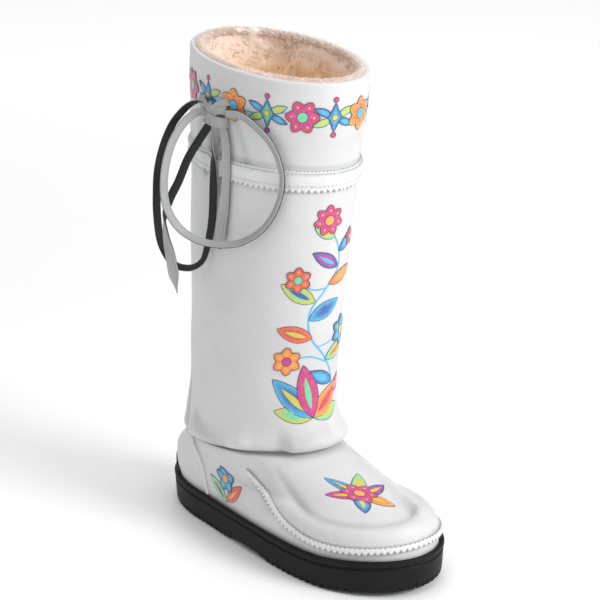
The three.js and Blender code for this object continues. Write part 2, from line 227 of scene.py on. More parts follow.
# Knot of the bow, in millimetres: its middle, the half width and half depth of the lace wound
# round it, how far that ring lies back and below, its slant, and the straps that come into it.
# Then width and thickness of the wound lace and of the straps, how the lace faces as it goes
# round, how the straps face, and the points round the ring.
KNOT = (55, -45.6, 341.5)
KNOT_HALF_WIDTH = 10.4
KNOT_HALF_DEPTH = 5.4
KNOT_BACK = 0.4
KNOT_DROP = 2.2
KNOT_SLANT = 1.3
KNOT_STRAPS = (
    ((-10, 1.5, 7), (-6.4, -1.2, 6.6), (-2.6, -3.2, 5), (0, -2.4, 1)),
    ((12, -0.5, 6), (8, -2.2, 6), (4, -3.2, 4.6), (1, -2.4, 1)),
)
KNOT_LACE = (8.2, 3)
KNOT_STRAP = (6, 2.2)
KNOT_FACING = (1, 1.9, 0.2)
KNOT_STRAP_FACING = (0.05, -1, 0.55)
KNOT_POINTS = 72
# Points that the bow's cords follow, in millimetres, and how each strap is turned: shares of the
# length with the degrees its grey face is turned away from the outer side
OUTER_SIDE = Vector((0.5, -0.8, 0.3)).normalized()
LACES = {
    "lace_loop_front": {
        "route": (
            (67, -46.6, 345.4), (81, -43, 346), (94, -39, 339), (104, -34.5, 329), (110, -31, 316),
            (112, -29, 300), (109, -30, 284), (104, -34, 270), (95, -39, 258), (82, -46, 249), (68, -54, 246),
            (56, -61, 247), (45, -69, 253), (39, -76, 264), (36, -80, 278), (35, -80, 293), (35, -77, 309),
            (36, -71, 324), (38, -62, 336), (41, -53, 342.5), (46.2, -47.8, 343.2),
        ),
        "turned": ((0, 40), (0.25, 48), (0.5, 42), (0.75, 45), (1, 38)),
        "far_end": "knot",
        "lay": "hanging",
    },
    "lace_loop_back": {
        "route": (
            (47.8, -44.3, 346.8), (36, -43.2, 349), (27, -46.5, 346), (23, -54, 339), (20, -61, 329),
            (16, -66, 313), (13, -69, 295), (12, -70, 276), (12, -70, 259), (14, -69, 240), (19, -66, 227),
            (26, -63, 221), (35, -56, 220), (40, -49, 225), (43, -46, 237), (48, -45, 259), (50, -45, 283),
            (51, -45.2, 307), (53.5, -45.2, 324), (54.9, -46, 335),
        ),
        "turned": (
            (0, 60), (0.1, 120), (0.25, 140), (0.52, 125), (0.62, 140), (0.7, 168), (0.82, 170), (0.9, 140),
            (0.96, 50), (1, 5),
        ),
        "far_end": "knot",
        "lay": "hanging",
    },
    "lace_tail_front": {
        "route": (
            (50.4, -46.4, 336.2), (43, -52, 322), (39, -60, 308), (35, -66, 291), (29, -71, 275),
            (26, -73, 261), (27, -73, 247), (30, -71.5, 231), (32, -70, 215), (33, -68, 202),
        ),
        "turned": ((0, 170), (0.3, 178), (0.45, 160), (0.62, 60), (0.8, 10), (1, -10)),
        "far_end": "bare",
        "lay": "hanging",
    },
    "lace_tail_back": {
        "route": (
            (61.5, -45.2, 336.3), (65, -44.5, 321), (65, -44.5, 298), (62, -44.5, 274), (58, -45, 253),
            (57, -45, 238),
        ),
        "turned": ((0, 10), (0.5, -5), (1, 8)),
        "far_end": "bare",
        "lay": "hanging",
    },
}
# Points along the loops and tails, and along the short straps
LACE_POINTS = 150
STRAP_POINTS = 40
# Ends of the tails: share of the width at the tip, share of the length that it tapers over,
# width of the flat part and where along the tail it starts
TAIL_TIP = 0.08
TAIL_TAPER = 0.12
TAIL_WIDTH = 1.35
TAIL_FLAT_FROM = 0.45
# Short stretches of lace between the slits in the cuff and the knot, in millimetres, and how
# many degrees their grey face is turned away from the outer side
HELD_STRAPS = {
    "lace_held_left": (
        (29, -33, 352), (31.5, -38.5, 352), (37, -44, 350), (44, -47, 347), (50, -48.5, 344),
        (54, -47.5, 340),
    ),
    "lace_held_right": (
        (66, -35, 352), (65, -40.5, 353), (61, -45.5, 351.5), (57, -48.5, 347.5), (54, -49.5, 343.5),
        (51, -47.5, 339),
    ),
}
HELD_TURN = 5
# Slits that the lace goes through, drawn as flat black patches of painted shade: (turn in degrees, section,
# slant in degrees), and their size
SLITS = ((251, 23.55, 25), (277.4, 23.6, -20), (282, 23.5, -20))
SLIT_LENGTH = 7 * MM
SLIT_WIDTH = 1.3 * MM
SLIT_RAISED = 0.5 * MM

# Step in turns and sections over which the form's direction is taken
FACING_STEP = 0.02
# Column of a section's sizes that holds how proud it stands
PROUD = 8
# Share of a crease over which it fades in and out, and the close points along it
CREASE_FADE = 0.16
CREASE_POINTS = 900
# First side of the flat lace that belongs to its black reverse
REVERSE_FROM = 11
# Rings of a filled painted form, from its middle to its edge
RING_SHARES = (0.4, 0.75, 1.0)
# Links of the chain in each quarter of the cuff, and the section of its middle line
CUFF_LINKS = 2
CUFF_LINE = 23.45
# Points up and round a patch that a motif is drawn on
PATCH_ROWS = 90
PATCH_COLUMNS = 181
# Those patches: turn of the middle in degrees, lowest and highest section and half the spread
# in degrees. The cuff and the heel take several turns. The shaft's drawing is also moved up or
# down, in millimetres.
CUFF_PATCH = (22.25, 24.75, 62)
CUFF_QUARTERS = (("front", 0), ("inner", 90), ("back", 180), ("outer", 270))
SHAFT_PATCH = (355, 14.0, 20.6, 62)
SHAFT_UP = -7
TOE_PATCH = (346, 5.4, 10.8, 60)
HEEL_PATCH = (0.4, 8.4, 38)
HEEL_SIDES = (("outer", 256, 1), ("inner", 104, -1))
SLIT_PATCH = (265, 22.3, 24.6, 40)

# Points round the boot in the leather, the lining and the sole
LEATHER_AROUND = 336
LINING_AROUND = 380
SOLE_AROUND = 760
# How far the rolled collar edge runs down inside
ROLL_DEPTHS = (3 * MM, 9 * MM)
# Darkening of the foot's hem towards the sole: its upper edge, the height that it fades over and its strength
HEM_TOP = 31 * MM
HEM_FADE = 6 * MM
HEM_DARKENING = 0.45

# Wool crest over the collar, in millimetres: out from the leather's edge and up from it
CREST_PROFILE = ((-3.8, -4), (-4.2, -0.5), (-4.9, 1.4), (-5.9, 2.4), (-7.2, 2.6), (-8.5, 1.7), (-9.4, -0.4))
# Lining: first section, distance between its rings, and how much thicker and lower it runs
# where the shaft folds over the foot
LINING_ROW = 0.4
LINING_STEP = 3.4 * MM
FOLD_PADDING = 4 * MM
FOLD_SINK = 9 * MM
# Lumps of the wool: waves in a metre and share of the curl's height
WOOL_LUMPS = ((130, 1), (320, 0.5), (38, 1.3))
# Number that fixes how the tufts are scattered
TUFT_SEED = 7
# Tufts of the crest, in millimetres: nearest and furthest in from the leather, top, fall and root
CREST_NEAR = -4.2
CREST_FAR = -9.8
CREST_TOP = 2.6
CREST_FALL = 3.2
CREST_ROOT = 0.8
# Tufts inside the shaft: sections that they reach down from the collar, and depth of their root
WALL_TUFT_REACH = 3.2
WALL_TUFT_ROOT = 0.6 * MM
# Tuft: share of its length with share of its thickness, and the paleness of its rings and tip
TUFT_RINGS = ((0, 1.0), (0.4, 0.85), (0.75, 0.5))
TUFT_SIDES = 3
TUFT_TIPS = (0.15, 0.55, 0.85, 1.0)
# Heights between which the wool turns from pale to golden
WOOL_PALE_FROM = 374 * MM
WOOL_DEEP_FROM = 336 * MM

# Notches along the tread's edge: depth, slant over the side's height, and height they reach to
NOTCH_DEPTH = 1.5 * MM
NOTCH_SLANT = 0.9
NOTCH_REACH = 0.2
# Underside: depth of its bars, how steeply they slant, and place and half width of its rail as
# shares of the way out from the middle line
BAR_DEPTH = 2.6 * MM
BAR_SLANT = 2.6
RAIL_PLACE = 0.56
RAIL_HALF = 0.035
# Dust on the rubber reaches up to this height
DUST_TOP = 12 * MM
# Heel cup: half its reach in degrees, its points round and up, and the sections of its foot,
# its ends and its crown
CUP_REACH = 39
CUP_COLUMNS = 90
CUP_RINGS = 24
CUP_FOOT = 0.6
CUP_ENDS = 1.1
CUP_CROWN = 3.4

# Section of a leather strip: across in shares of its width, out in shares of its thickness and
# how much shade is painted on its cut edge
STRIP_PROFILE = (
    (0, -0.4, 1), (0.0, 0.55, 1), (0.06, 0.85, 0.4), (0.14, 1.0, 0), (0.5, 1.05, 0), (0.86, 1.0, 0),
    (0.94, 0.85, 0.4), (1, 0.55, 1), (1, -0.4, 1),
)
# Seam strip: half its width
STRIP_HALF = 5.2 * MM
# Teeth of the pinked edges, in millimetres: margin that they stand on, and their length
STRIP_LOW_TEETH = (1.5, 3.0)
STRIP_HIGH_TEETH = (0.6, 1.7)
VAMP_LOW_TEETH = (0.9, 2.8)
VAMP_HIGH_TEETH = (1.2, 0.9)
# Vamp seam: thickness of its pinked edge, and how far above it the stitches run
VAMP_THICKNESS = 2.4 * MM
VAMP_STITCH_LINE = 3.6 * MM
# Stitch: share of its half length with share of its half width, that half width, how high its
# middle rises, how flat it is and its sides
STITCH_RINGS = ((-1, 0.25), (-0.75, 0.8), (0, 1), (0.75, 0.8), (1, 0.25))
STITCH_HALF_WIDTH = 0.42 * MM
STITCH_RISE = 0.22 * MM
STITCH_FLATNESS = 0.8
STITCH_SIDES = 6

# Lights: name, place, aim, width, power in watts
LIGHTS = (
    ("key_light", (1.7, 0.5, 1.1), (0.05, 0, 0.18), 0.8, 24),
    ("fill_light", (0.4, -2.2, 1.2), (0.05, 0, 0.2), 1.6, 3),
    ("rim_light", (-1.2, 1.0, 1.5), (0.05, 0, 0.25), 1.0, 5),
    ("top_light", (0.1, -0.1, 2.4), (0.05, 0, 0), 2.2, 17),
)
# Floor: half its side, its points along a side, how far it lies under the sole, and the
# distances between which it starts to glow, with the strength of that glow
FLOOR_HALF = 6.0
FLOOR_POINTS = 16
FLOOR_DROP = 0.2 * MM
FLOOR_GLOW_FROM = 0.5
FLOOR_GLOW_FULL = 2.4
FLOOR_GLOW = 0.3


def mix(low, high, share):
    return low + (high - low) * share


def soften(share):
    """Smooth step from 0 to 1."""
    held = np.clip(share, 0, 1)
    return held * held * (3 - 2 * held)


def sections():
    """Sizes of every section in metres, from the feather line to the collar."""
    rows = []
    floor = PLATFORM + GAP
    for back, front, heel, ball, rise_back, rise_front, oval in FOOT:
        rows.append((
            back * SOLE_LENGTH, front * SOLE_LENGTH, heel * HEEL_WIDTH / 2, ball * BALL_WIDTH / 2,
            floor + rise_back * INSTEP, floor + rise_front * INSTEP, oval, 0, 0,
        ))
    for up, girth, proud in SHAFT:
        back = mix(ANKLE_SETBACK, COLLAR_SETBACK, girth)
        half = mix(ANKLE_WIDTH, COLLAR_WIDTH, girth) / 2
        rows.append((
            back, back + mix(ANKLE_LENGTH, COLLAR_LENGTH, girth), half, half,
            mix(PLATFORM + INSTEP - FOLD_DROP, COLLAR_BACK, up), mix(PLATFORM + INSTEP, COLLAR_FRONT, up),
            1, up * SHAFT_LEAN, proud * WALL,
        ))
    return np.array(rows, float)


SECTIONS = sections()


def sized(row):
    """Sizes of the section at any place between two rows, on a smooth curve through the rows."""
    last = len(SECTIONS) - 1
    index = np.clip(np.floor(row).astype(int), 0, last - 1)
    share = (row - index)[..., None]
    before = SECTIONS[np.clip(index - 1, 0, last)]
    low = SECTIONS[index]
    high = SECTIONS[index + 1]
    after = SECTIONS[np.clip(index + 2, 0, last)]
    squared = share**2
    cubed = share**3
    risen = low * (2 * cubed - 3 * squared + 1) + high * (3 * squared - 2 * cubed)
    return risen + (high - before) / 2 * (cubed - 2 * squared + share) + (after - low) / 2 * (cubed - squared)


def end_cap(distance, reach):
    """Round end of the plan outline."""
    left = 1 - np.minimum(distance / reach, 1)
    return np.sqrt(np.maximum(1 - left * left, 0))


def fullness(along, column):
    place = np.clip(np.searchsorted(FULLNESS[:, 0], along) - 1, 0, len(FULLNESS) - 2)
    low = FULLNESS[place]
    high = FULLNESS[place + 1]
    share = (along - low[..., 0]) / (high[..., 0] - low[..., 0])
    return mix(low[..., column], high[..., column], soften(share))


def spring(along):
    """How far the toe end lifts off the floor."""
    return TOE_SPRING * soften((along - 0.74) / 0.34)


def tread(along):
    """Height of the tread: flat under heel and ball, raised at the arch and the toe."""
    arch = ARCH_RISE * soften((along - 0.36) / 0.08) * soften((0.6 - along) / 0.08)
    return arch + spring(along)


def form(turn, row):
    """Point of the upper's outer form. Turn goes from the toe through the inner side."""
    turn, row = np.broadcast_arrays(np.asarray(turn, float), np.asarray(row, float))
    back, front, heel, ball, back_up, front_up, oval, lean, _ = np.moveaxis(sized(row), -1, 0)
    along = (1 + np.cos(turn)) / 2
    inner = np.sin(turn) >= 0
    width = mix(heel, ball, soften((along - WAIST[0]) / (WAIST[1] - WAIST[0])))
    full = np.where(inner, fullness(along, 2), fullness(along, 1))
    caps = end_cap(along, HEEL_CAP) * end_cap(1 - along, TOE_CAP)
    foot = np.where(inner, 1, -1) * width * full * caps + TOE_SWING * along * along
    shaft = (heel + ball) / 2 * np.sin(turn)
    return np.stack([
        back - HEEL_SEAT + (front - back) * along,
        mix(foot, shaft, oval) + lean,
        mix(back_up, front_up, along) + spring(along) * (1 - oval),
    ], -1)


def unit(vectors):
    return vectors / np.maximum(np.linalg.norm(vectors, axis=-1, keepdims=True), 1e-12)


def outward(turn, row):
    """Outward direction of the form."""
    turn = np.asarray(turn, float)
    row = np.asarray(row, float)
    around = form(turn + FACING_STEP, row) - form(turn - FACING_STEP, row)
    above = form(turn, np.minimum(row + FACING_STEP, COLLAR_ROW))
    rising = above - form(turn, np.maximum(row - FACING_STEP, 0))
    return unit(np.cross(around, rising))


def level_outward(turn, row):
    """Outward direction of the form in its level plane."""
    turn = np.asarray(turn, float)
    around = form(turn + FACING_STEP, row) - form(turn - FACING_STEP, row)
    return unit(np.stack([around[..., 1], -around[..., 0], np.zeros_like(around[..., 0])], -1))


def raised(turn, row):
    """Direction in which the leather is raised: outward, but level where the shaft folds over the foot."""
    turn, row = np.broadcast_arrays(np.asarray(turn, float), np.asarray(row, float))
    level = soften((0.9 - np.abs(row - FOLD_ROW + 0.5)) / 0.4)[..., None]
    return unit(mix(outward(turn, row), level_outward(turn, row), level))


def course_of(places):
    """Places whose turns run on past the toe instead of starting again at 0."""
    course = np.array(places, float)
    course[:, 0] = np.unwrap(course[:, 0], period=360)
    return course


def smooth_course(points, count):
    """Even points on a smooth curve through the given ones."""
    points = np.asarray(points, float)
    last = len(points) - 1
    share = np.linspace(0, last, 24 * last + 1)
    index = np.minimum(share.astype(int), last - 1)
    step = (share - index)[:, None]
    before = points[np.maximum(index - 1, 0)]
    low = points[index]
    high = points[index + 1]
    after = points[np.minimum(index + 2, last)]
    curve = 0.5 * (
        2 * low + (high - before) * step + (2 * before - 5 * low + 4 * high - after) * step**2
        + (3 * low - before - 3 * high + after) * step**3
    )
    return even_points(curve, count)


def even_points(curve, count):
    """The curve again, with points at equal distances."""
    gaps = np.linalg.norm(np.diff(curve, axis=0), axis=1)
    length = np.concatenate([[0], np.cumsum(gaps)])
    wanted = np.linspace(0, length[-1], count)
    return np.stack([np.interp(wanted, length, curve[:, axis]) for axis in range(curve.shape[1])], -1)


def crease_lines():
    """Close points along each crease, with a search tree over them."""
    lines = []
    for crease in CREASES:
        places = smooth_course(course_of(crease["places"]), CREASE_POINTS)
        turn = np.radians(places[:, 0])
        proud = sized(places[:, 1])[:, PROUD : PROUD + 1]
        line = form(turn, places[:, 1]) + raised(turn, places[:, 1]) * proud
        tree = KDTree(len(line))
        for index, point in enumerate(line):
            tree.insert(point, index)
        tree.balance()
        lines.append((line, tree))
    return lines


CREASE_LINES = crease_lines()


def relief(turn, row, base):
    """Height of the leather over its form, and how much shade the creases paint on each point."""
    flat = base.reshape(-1, 3)
    rows = np.asarray(row, float).reshape(-1)
    height = np.zeros(len(flat))
    shade = np.zeros(len(flat))
    for crease, (line, tree) in zip(CREASES, CREASE_LINES):
        reach = 3 * crease["width"]
        near = np.all((flat > line.min(0) - reach) & (flat < line.max(0) + reach), axis=1)
        chosen = np.nonzero(near)[0]
        closed = crease["places"][-1][0] - crease["places"][0][0] >= 360
        if not len(chosen):
            continue
        found = [tree.find(point) for point in flat[chosen]]
        distance = np.array([gap for _, _, gap in found])
        share = np.array([index for _, index, _ in found]) / (len(line) - 1)
        ends = 1.0 if closed else soften(np.minimum(share, 1 - share) / CREASE_FADE)
        strength = np.exp(-((distance / crease["width"]) ** 2)) * ends
        if "above" in crease:
            strength = strength * soften((rows[chosen] - crease["above"]) / 0.5)
        height[chosen] += crease["height"] * strength
        # Painted shade: a trough darkens the leather by its own shade value, or else by its depth
        if crease["height"] < 0:
            shade[chosen] += strength * crease.get("shade", min(-crease["height"] / (2.5 * MM), 1))
    height = height.reshape(base.shape[:-1])
    behind = np.degrees(np.abs((turn % (2 * math.pi)) - math.pi))
    counter = soften((COUNTER_REACH - behind) / 2) * soften((COUNTER_TOP - row) / 0.6)
    slack = np.array([noise.noise(Vector(point) * SLACK_WAVES) for point in flat]).reshape(base.shape[:-1])
    loose = mix(SLACK_FOOT, 1, soften((row - FOLD_ROW) / 2))
    height = height + COUNTER_PROUD * counter + slack * loose * MM
    return height, np.minimum(shade, 1).reshape(base.shape[:-1])


def skin(turn, row, out=0.0):
    """Points of the leather's surface moved out by a distance, with facing and the shade painted by creases.
    """
    turn, row = np.broadcast_arrays(np.asarray(turn, float), np.asarray(row, float))
    facing = raised(turn, row)
    base = form(turn, row) + facing * sized(row)[..., PROUD : PROUD + 1]
    height, shade = relief(turn, row, base)
    return base + facing * (height + out)[..., None], facing, shade


def row_steps(low, high, spacing):
    """Section numbers spaced so that neighbours lie about that far apart on the leather."""
    fine = np.linspace(low, high, 400)
    sides = np.array([0, 1.6, math.pi, 4.7])[:, None]
    points = form(sides, fine[None, :])
    gaps = np.linalg.norm(np.diff(points, axis=1), axis=2).max(0)
    length = np.concatenate([[0], np.cumsum(gaps)])
    return np.interp(np.linspace(0, length[-1], int(length[-1] / spacing) + 1), length, fine)


def turns(count):
    return np.arange(count) / count * 2 * math.pi


def grid_faces(rows, columns, closed):
    """Quads of a grid of points whose columns may close on themselves."""
    across = columns if closed else columns - 1
    low = np.arange(rows - 1)[:, None] * columns
    side = np.arange(across)[None, :]
    following = (side + 1) % columns
    quads = np.stack([low + side, low + following, low + columns + following, low + columns + side], -1)
    return quads.reshape(-1, 4)


class Shape:
    """Vertices and faces of one piece, with values kept on its vertices."""

    def __init__(self):
        self.points = []
        self.faces = []
        self.finishes = []
        self.values = {}
        self.count = 0

    def add(self, points, faces, **values):
        points = np.asarray(points, float).reshape(-1, 3)
        faces = np.asarray(faces) + self.count
        self.points.append(points)
        self.faces.extend(faces.tolist())
        self.finishes.extend([0] * len(faces))
        for name, value in values.items():
            self.values.setdefault(name, []).append(np.asarray(value, float).reshape(len(points), -1))
        self.count += len(points)

    def grid(self, points, closed=False, **values):
        rows, columns = points.shape[:2]
        self.add(points, grid_faces(rows, columns, closed), **values)

    def build(self, name, materials, slot):
        """Make the Blender object with its materials and let it ride on the boot. The finish name that it is
        given, slot, is not used.
        """
        mesh = bpy.data.meshes.new(name)
        mesh.from_pydata(np.concatenate(self.points).tolist(), [], self.faces)
        mesh.polygons.foreach_set("use_smooth", [True] * len(mesh.polygons))
        for material in materials:
            mesh.materials.append(material)
        mesh.polygons.foreach_set("material_index", self.finishes)
        for key, parts in self.values.items():
            stacked = np.concatenate(parts)
            if stacked.shape[1] == 1:
                attribute = mesh.attributes.new(key, "FLOAT", "POINT")
                attribute.data.foreach_set("value", stacked.ravel().astype(np.float32))
            else:
                attribute = mesh.color_attributes.new(key, "FLOAT_COLOR", "POINT")
                attribute.data.foreach_set("color", stacked.ravel().astype(np.float32))
        mesh.update()
        piece = bpy.data.objects.new(name, mesh)
        bpy.context.scene.collection.objects.link(piece)
        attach(piece, BODY)
        return piece


def tangents(path):
    return unit(np.gradient(path, axis=0))


def sweep(shape, path, facing, section, finish_of=None, widths=None):
    """Sweep a closed section along a path: its first axis lies across, its second along the facing."""
    along = tangents(path)
    over = unit(facing - (facing * along).sum(-1, keepdims=True) * along)
    across = np.cross(along, over)
    scale = np.ones(len(path)) if widths is None else widths
    points = (
        path[:, None, :]
        + across[:, None, :] * section[None, :, 0, None] * scale[:, None, None]
        + over[:, None, :] * section[None, :, 1, None]
    )
    rows, columns = points.shape[:2]
    faces = grid_faces(rows, columns, True)
    start = shape.count
    shape.add(points, faces)
    if finish_of is not None:
        picks = finish_of(np.arange(len(faces)) % columns)
        shape.finishes[-len(faces) :] = [int(pick) for pick in picks]
    shape.faces.append(list(range(start + columns - 1, start - 1, -1)))
    shape.faces.append(list(range(start + (rows - 1) * columns, start + rows * columns)))
    shape.finishes.extend([0, 0])


def round_section(width, height, sides):
    turn = turns(sides)
    return np.stack([np.cos(turn) * width / 2, np.sin(turn) * height / 2], -1)


def strap_section(width, thickness):
    """Flat leather strap with a low bead along both edges of its grey face."""
    half = width / 2
    top = thickness / 2
    shares = (
        (-1, 0.1), (-0.94, 0.85), (-0.86, 1.1), (-0.76, 0.95), (-0.68, 0.62), (-0.3, 0.72), (0.3, 0.72),
        (0.68, 0.62), (0.76, 0.95), (0.86, 1.1), (0.94, 0.85), (1, 0.1), (0.97, -0.7), (0.85, -0.95), (0, -1),
        (-0.85, -0.95), (-0.97, -0.7),
    )
    return np.array([(-across * half, over * top) for across, over in shares])


def group_socket(group, name, kind, way, value=None):
    socket = group.interface.new_socket(name=name, in_out=way, socket_type=kind)
    if value is not None:
        socket.default_value = value


def named_group(name, inputs, outputs, wire):
    """Shader node group made once, with named inputs and outputs."""
    if name in bpy.data.node_groups:
        return bpy.data.node_groups[name]
    group = bpy.data.node_groups.new(name, "ShaderNodeTree")
    for label, kind, value in inputs:
        group_socket(group, label, kind, "INPUT", value)
    for label, kind in outputs:
        group_socket(group, label, kind, "OUTPUT")
    entry = group.nodes.new("NodeGroupInput")
    leave = group.nodes.new("NodeGroupOutput")
    wire(group, entry.outputs, leave.inputs)
    return group


def math_node(tree, operation, first, second=None, clamp=False):
    node = tree.nodes.new("ShaderNodeMath")
    node.operation = operation
    node.use_clamp = clamp
    for socket, value in zip(node.inputs, (first, second)):
        if value is None:
            continue
        if isinstance(value, (int, float)):
            socket.default_value = value
        else:
            tree.links.new(value, socket)
    return node.outputs[0]


def ranged(tree, value, low, high, to_low=0.0, to_high=1.0):
    node = tree.nodes.new("ShaderNodeMapRange")
    node.interpolation_type = "SMOOTHSTEP"
    tree.links.new(value, node.inputs["Value"])
    for label, number in (("From Min", low), ("From Max", high), ("To Min", to_low), ("To Max", to_high)):
        node.inputs[label].default_value = number
    return node.outputs["Result"]


def place_of(tree):
    return tree.nodes.new("ShaderNodeTexCoord").outputs["Object"]


def noise_node(tree, place, scale, detail, roughness=0.5):
    node = tree.nodes.new("ShaderNodeTexNoise")
    tree.links.new(place, node.inputs["Vector"])
    if isinstance(scale, (int, float)):
        node.inputs["Scale"].default_value = scale
    else:
        tree.links.new(scale, node.inputs["Scale"])
    node.inputs["Detail"].default_value = detail
    node.inputs["Roughness"].default_value = roughness
    return node.outputs["Fac"]


def blend_colour(tree, share, first, second):
    node = tree.nodes.new("ShaderNodeMix")
    node.data_type = "RGBA"
    tree.links.new(share, node.inputs["Factor"])
    for socket, value in ((node.inputs[6], first), (node.inputs[7], second)):
        if isinstance(value, (tuple, list)):
            socket.default_value = value
        else:
            tree.links.new(value, socket)
    return node.outputs[2]


def grain_group():
    """Fine pebbled grain of leather: low cells with pores between them."""

    def wire(group, entry, leave):
        place = place_of(group)
        cells = group.nodes.new("ShaderNodeTexVoronoi")
        cells.feature = "DISTANCE_TO_EDGE"
        group.links.new(place, cells.inputs["Vector"])
        group.links.new(entry["Cell Scale"], cells.inputs["Scale"])
        pebble = ranged(group, cells.outputs["Distance"], 0.0, 0.32)
        broad = noise_node(group, place, math_node(group, "MULTIPLY", entry["Cell Scale"], 0.22), 4.0, 0.6)
        folded = math_node(group, "MULTIPLY", broad, entry["Crumple"])
        height = math_node(group, "ADD", math_node(group, "MULTIPLY", pebble, 0.6), folded)
        group.links.new(height, leave["Height"])
        group.links.new(math_node(group, "SUBTRACT", 1.0, pebble), leave["Pores"])

    inputs = (("Cell Scale", FLOAT, 800.0), ("Crumple", FLOAT, 0.6))
    return named_group("Leather grain", inputs, (("Height", FLOAT), ("Pores", FLOAT)), wire)


def tone_group():
    """Slow drift between a clean and a worn tone, gathered where the Mask input is high: shade painted into
    the leather's creases, dust low on the rubber.
    """

    def wire(group, entry, leave):
        place = place_of(group)
        slow = ranged(group, noise_node(group, place, entry["Scale"], 5.0, 0.62), 0.42, 0.72)
        drift = math_node(group, "MULTIPLY", slow, entry["Drift"])
        gathered = math_node(group, "ADD", drift, entry["Mask"], clamp=True)
        group.links.new(blend_colour(group, gathered, entry["Clean"], entry["Worn"]), leave["Color"])
        group.links.new(gathered, leave["Wear"])

    return named_group(
        "Tone drift",
        (
            ("Scale", FLOAT, 20.0), ("Drift", FLOAT, 0.3), ("Mask", FLOAT, 0.0),
            ("Clean", COLOUR, (0.8, 0.8, 0.8, 1)), ("Worn", COLOUR, (0.5, 0.5, 0.5, 1)),
        ),
        (("Color", COLOUR), ("Wear", FLOAT)),
        wire,
    )


def fibre_group():
    """Crimped wool: curls at one scale and single hairs at a finer one."""

    def wire(group, entry, leave):
        place = place_of(group)
        curls = noise_node(group, place, entry["Curl Scale"], 3.0, 0.6)
        hairs = noise_node(group, place, math_node(group, "MULTIPLY", entry["Curl Scale"], 7.0), 4.0, 0.75)
        broad = math_node(group, "MULTIPLY", curls, 0.6)
        both = math_node(group, "ADD", broad, math_node(group, "MULTIPLY", hairs, 0.4))
        group.links.new(both, leave["Height"])
        group.links.new(ranged(group, both, 0.38, 0.62), leave["Tone"])

    outputs = (("Height", FLOAT), ("Tone", FLOAT))
    return named_group("Wool fibre", (("Curl Scale", FLOAT, 180.0),), outputs, wire)


def placed(tree, group, **values):
    node = tree.nodes.new("ShaderNodeGroup")
    node.node_tree = group
    for label, value in values.items():
        socket = node.inputs[label.replace("_", " ")]
        if isinstance(value, (int, float, tuple, list)):
            socket.default_value = value
        else:
            tree.links.new(value, socket)
    return node.outputs


def attribute(tree, name):
    node = tree.nodes.new("ShaderNodeAttribute")
    node.attribute_name = name
    return node.outputs


def new_finish(name, rough, sheen=0.0, specular=0.5):
    """Material with its shader's plain values set, ready for nodes."""
    material = bpy.data.materials.new(name)
    material.use_nodes = True
    shader = material.node_tree.nodes["Principled BSDF"]
    shader.inputs["Roughness"].default_value = rough
    shader.inputs["Specular IOR Level"].default_value = specular
    shader.inputs["Sheen Weight"].default_value = sheen
    return material.node_tree, shader


def bump(tree, shader, height, strength, distance):
    node = tree.nodes.new("ShaderNodeBump")
    node.inputs["Strength"].default_value = strength
    node.inputs["Distance"].default_value = distance
    tree.links.new(height, node.inputs["Height"])
    tree.links.new(node.outputs["Normal"], shader.inputs["Normal"])


def colour(values):
    return tuple(values) + (1.0,)


def leather_finish(name, clean, worn, shade_strength, grain, depth=0.00012, rough=0.44):
    """Smooth full-grain leather with shade painted into its creases, grooves and cut edges, darker near the
    sole, and a little duller where it is darkened.
    """
    tree, shader = new_finish(name, rough, sheen=0.05)
    # Painted shade: the crease attribute mixes the leather towards its shade colour
    shade_mask = math_node(tree, "MULTIPLY", attribute(tree, "crease")["Fac"], shade_strength)
    tone = placed(tree, tone_group(), Scale=16.0, Drift=0.16, Mask=shade_mask, Clean=clean, Worn=worn)
    pores = placed(tree, grain_group(), Cell_Scale=grain, Crumple=0.9)
    tree.links.new(tone["Color"], shader.inputs["Base Color"])
    dull = math_node(tree, "ADD", math_node(tree, "MULTIPLY", pores["Pores"], 0.12), rough - 0.03)
    worn_dull = math_node(tree, "ADD", dull, math_node(tree, "MULTIPLY", tone["Wear"], 0.08))
    tree.links.new(worn_dull, shader.inputs["Roughness"])
    bump(tree, shader, pores["Height"], 0.55, depth)


def rubber_finish(name, clean, dusty):
    """Matte moulded rubber with a fine cast texture and dust low on its sides."""
    tree, shader = new_finish(name, 0.62, specular=0.22)
    place = place_of(tree)
    split = tree.nodes.new("ShaderNodeSeparateXYZ")
    tree.links.new(place, split.inputs[0])
    low = ranged(tree, split.outputs["Z"], DUST_TOP, 0.0, 0.0, 0.22)
    tone = placed(tree, tone_group(), Scale=60.0, Drift=0.25, Mask=low, Clean=clean, Worn=dusty)
    tree.links.new(tone["Color"], shader.inputs["Base Color"])
    cast = noise_node(tree, place, 1500.0, 2.0, 0.5)
    tree.links.new(ranged(tree, cast, 0.3, 0.7, 0.5, 0.68), shader.inputs["Roughness"])
    bump(tree, shader, cast, 0.5, 0.00008)


def wool_finish(name, root, tip, deep):
    """Shearling: pale at the tips, warmer at the root and golden deep in the boot."""
    tree, shader = new_finish(name, 0.95, sheen=0.35, specular=0.15)
    shader.inputs["Sheen Roughness"].default_value = 0.5
    fibre = placed(tree, fibre_group(), Curl_Scale=210.0)
    tipped = math_node(tree, "MULTIPLY", attribute(tree, "tip")["Fac"], 0.75)
    pale = math_node(tree, "ADD", tipped, math_node(tree, "MULTIPLY", fibre["Tone"], 0.3), clamp=True)
    wool = blend_colour(tree, pale, root, tip)
    split = tree.nodes.new("ShaderNodeSeparateXYZ")
    tree.links.new(place_of(tree), split.inputs[0])
    depth = ranged(tree, split.outputs["Z"], WOOL_PALE_FROM, WOOL_DEEP_FROM, 0.0, 0.92)
    tree.links.new(blend_colour(tree, depth, wool, deep), shader.inputs["Base Color"])
    bump(tree, shader, fibre["Height"], 0.7, 0.0007)


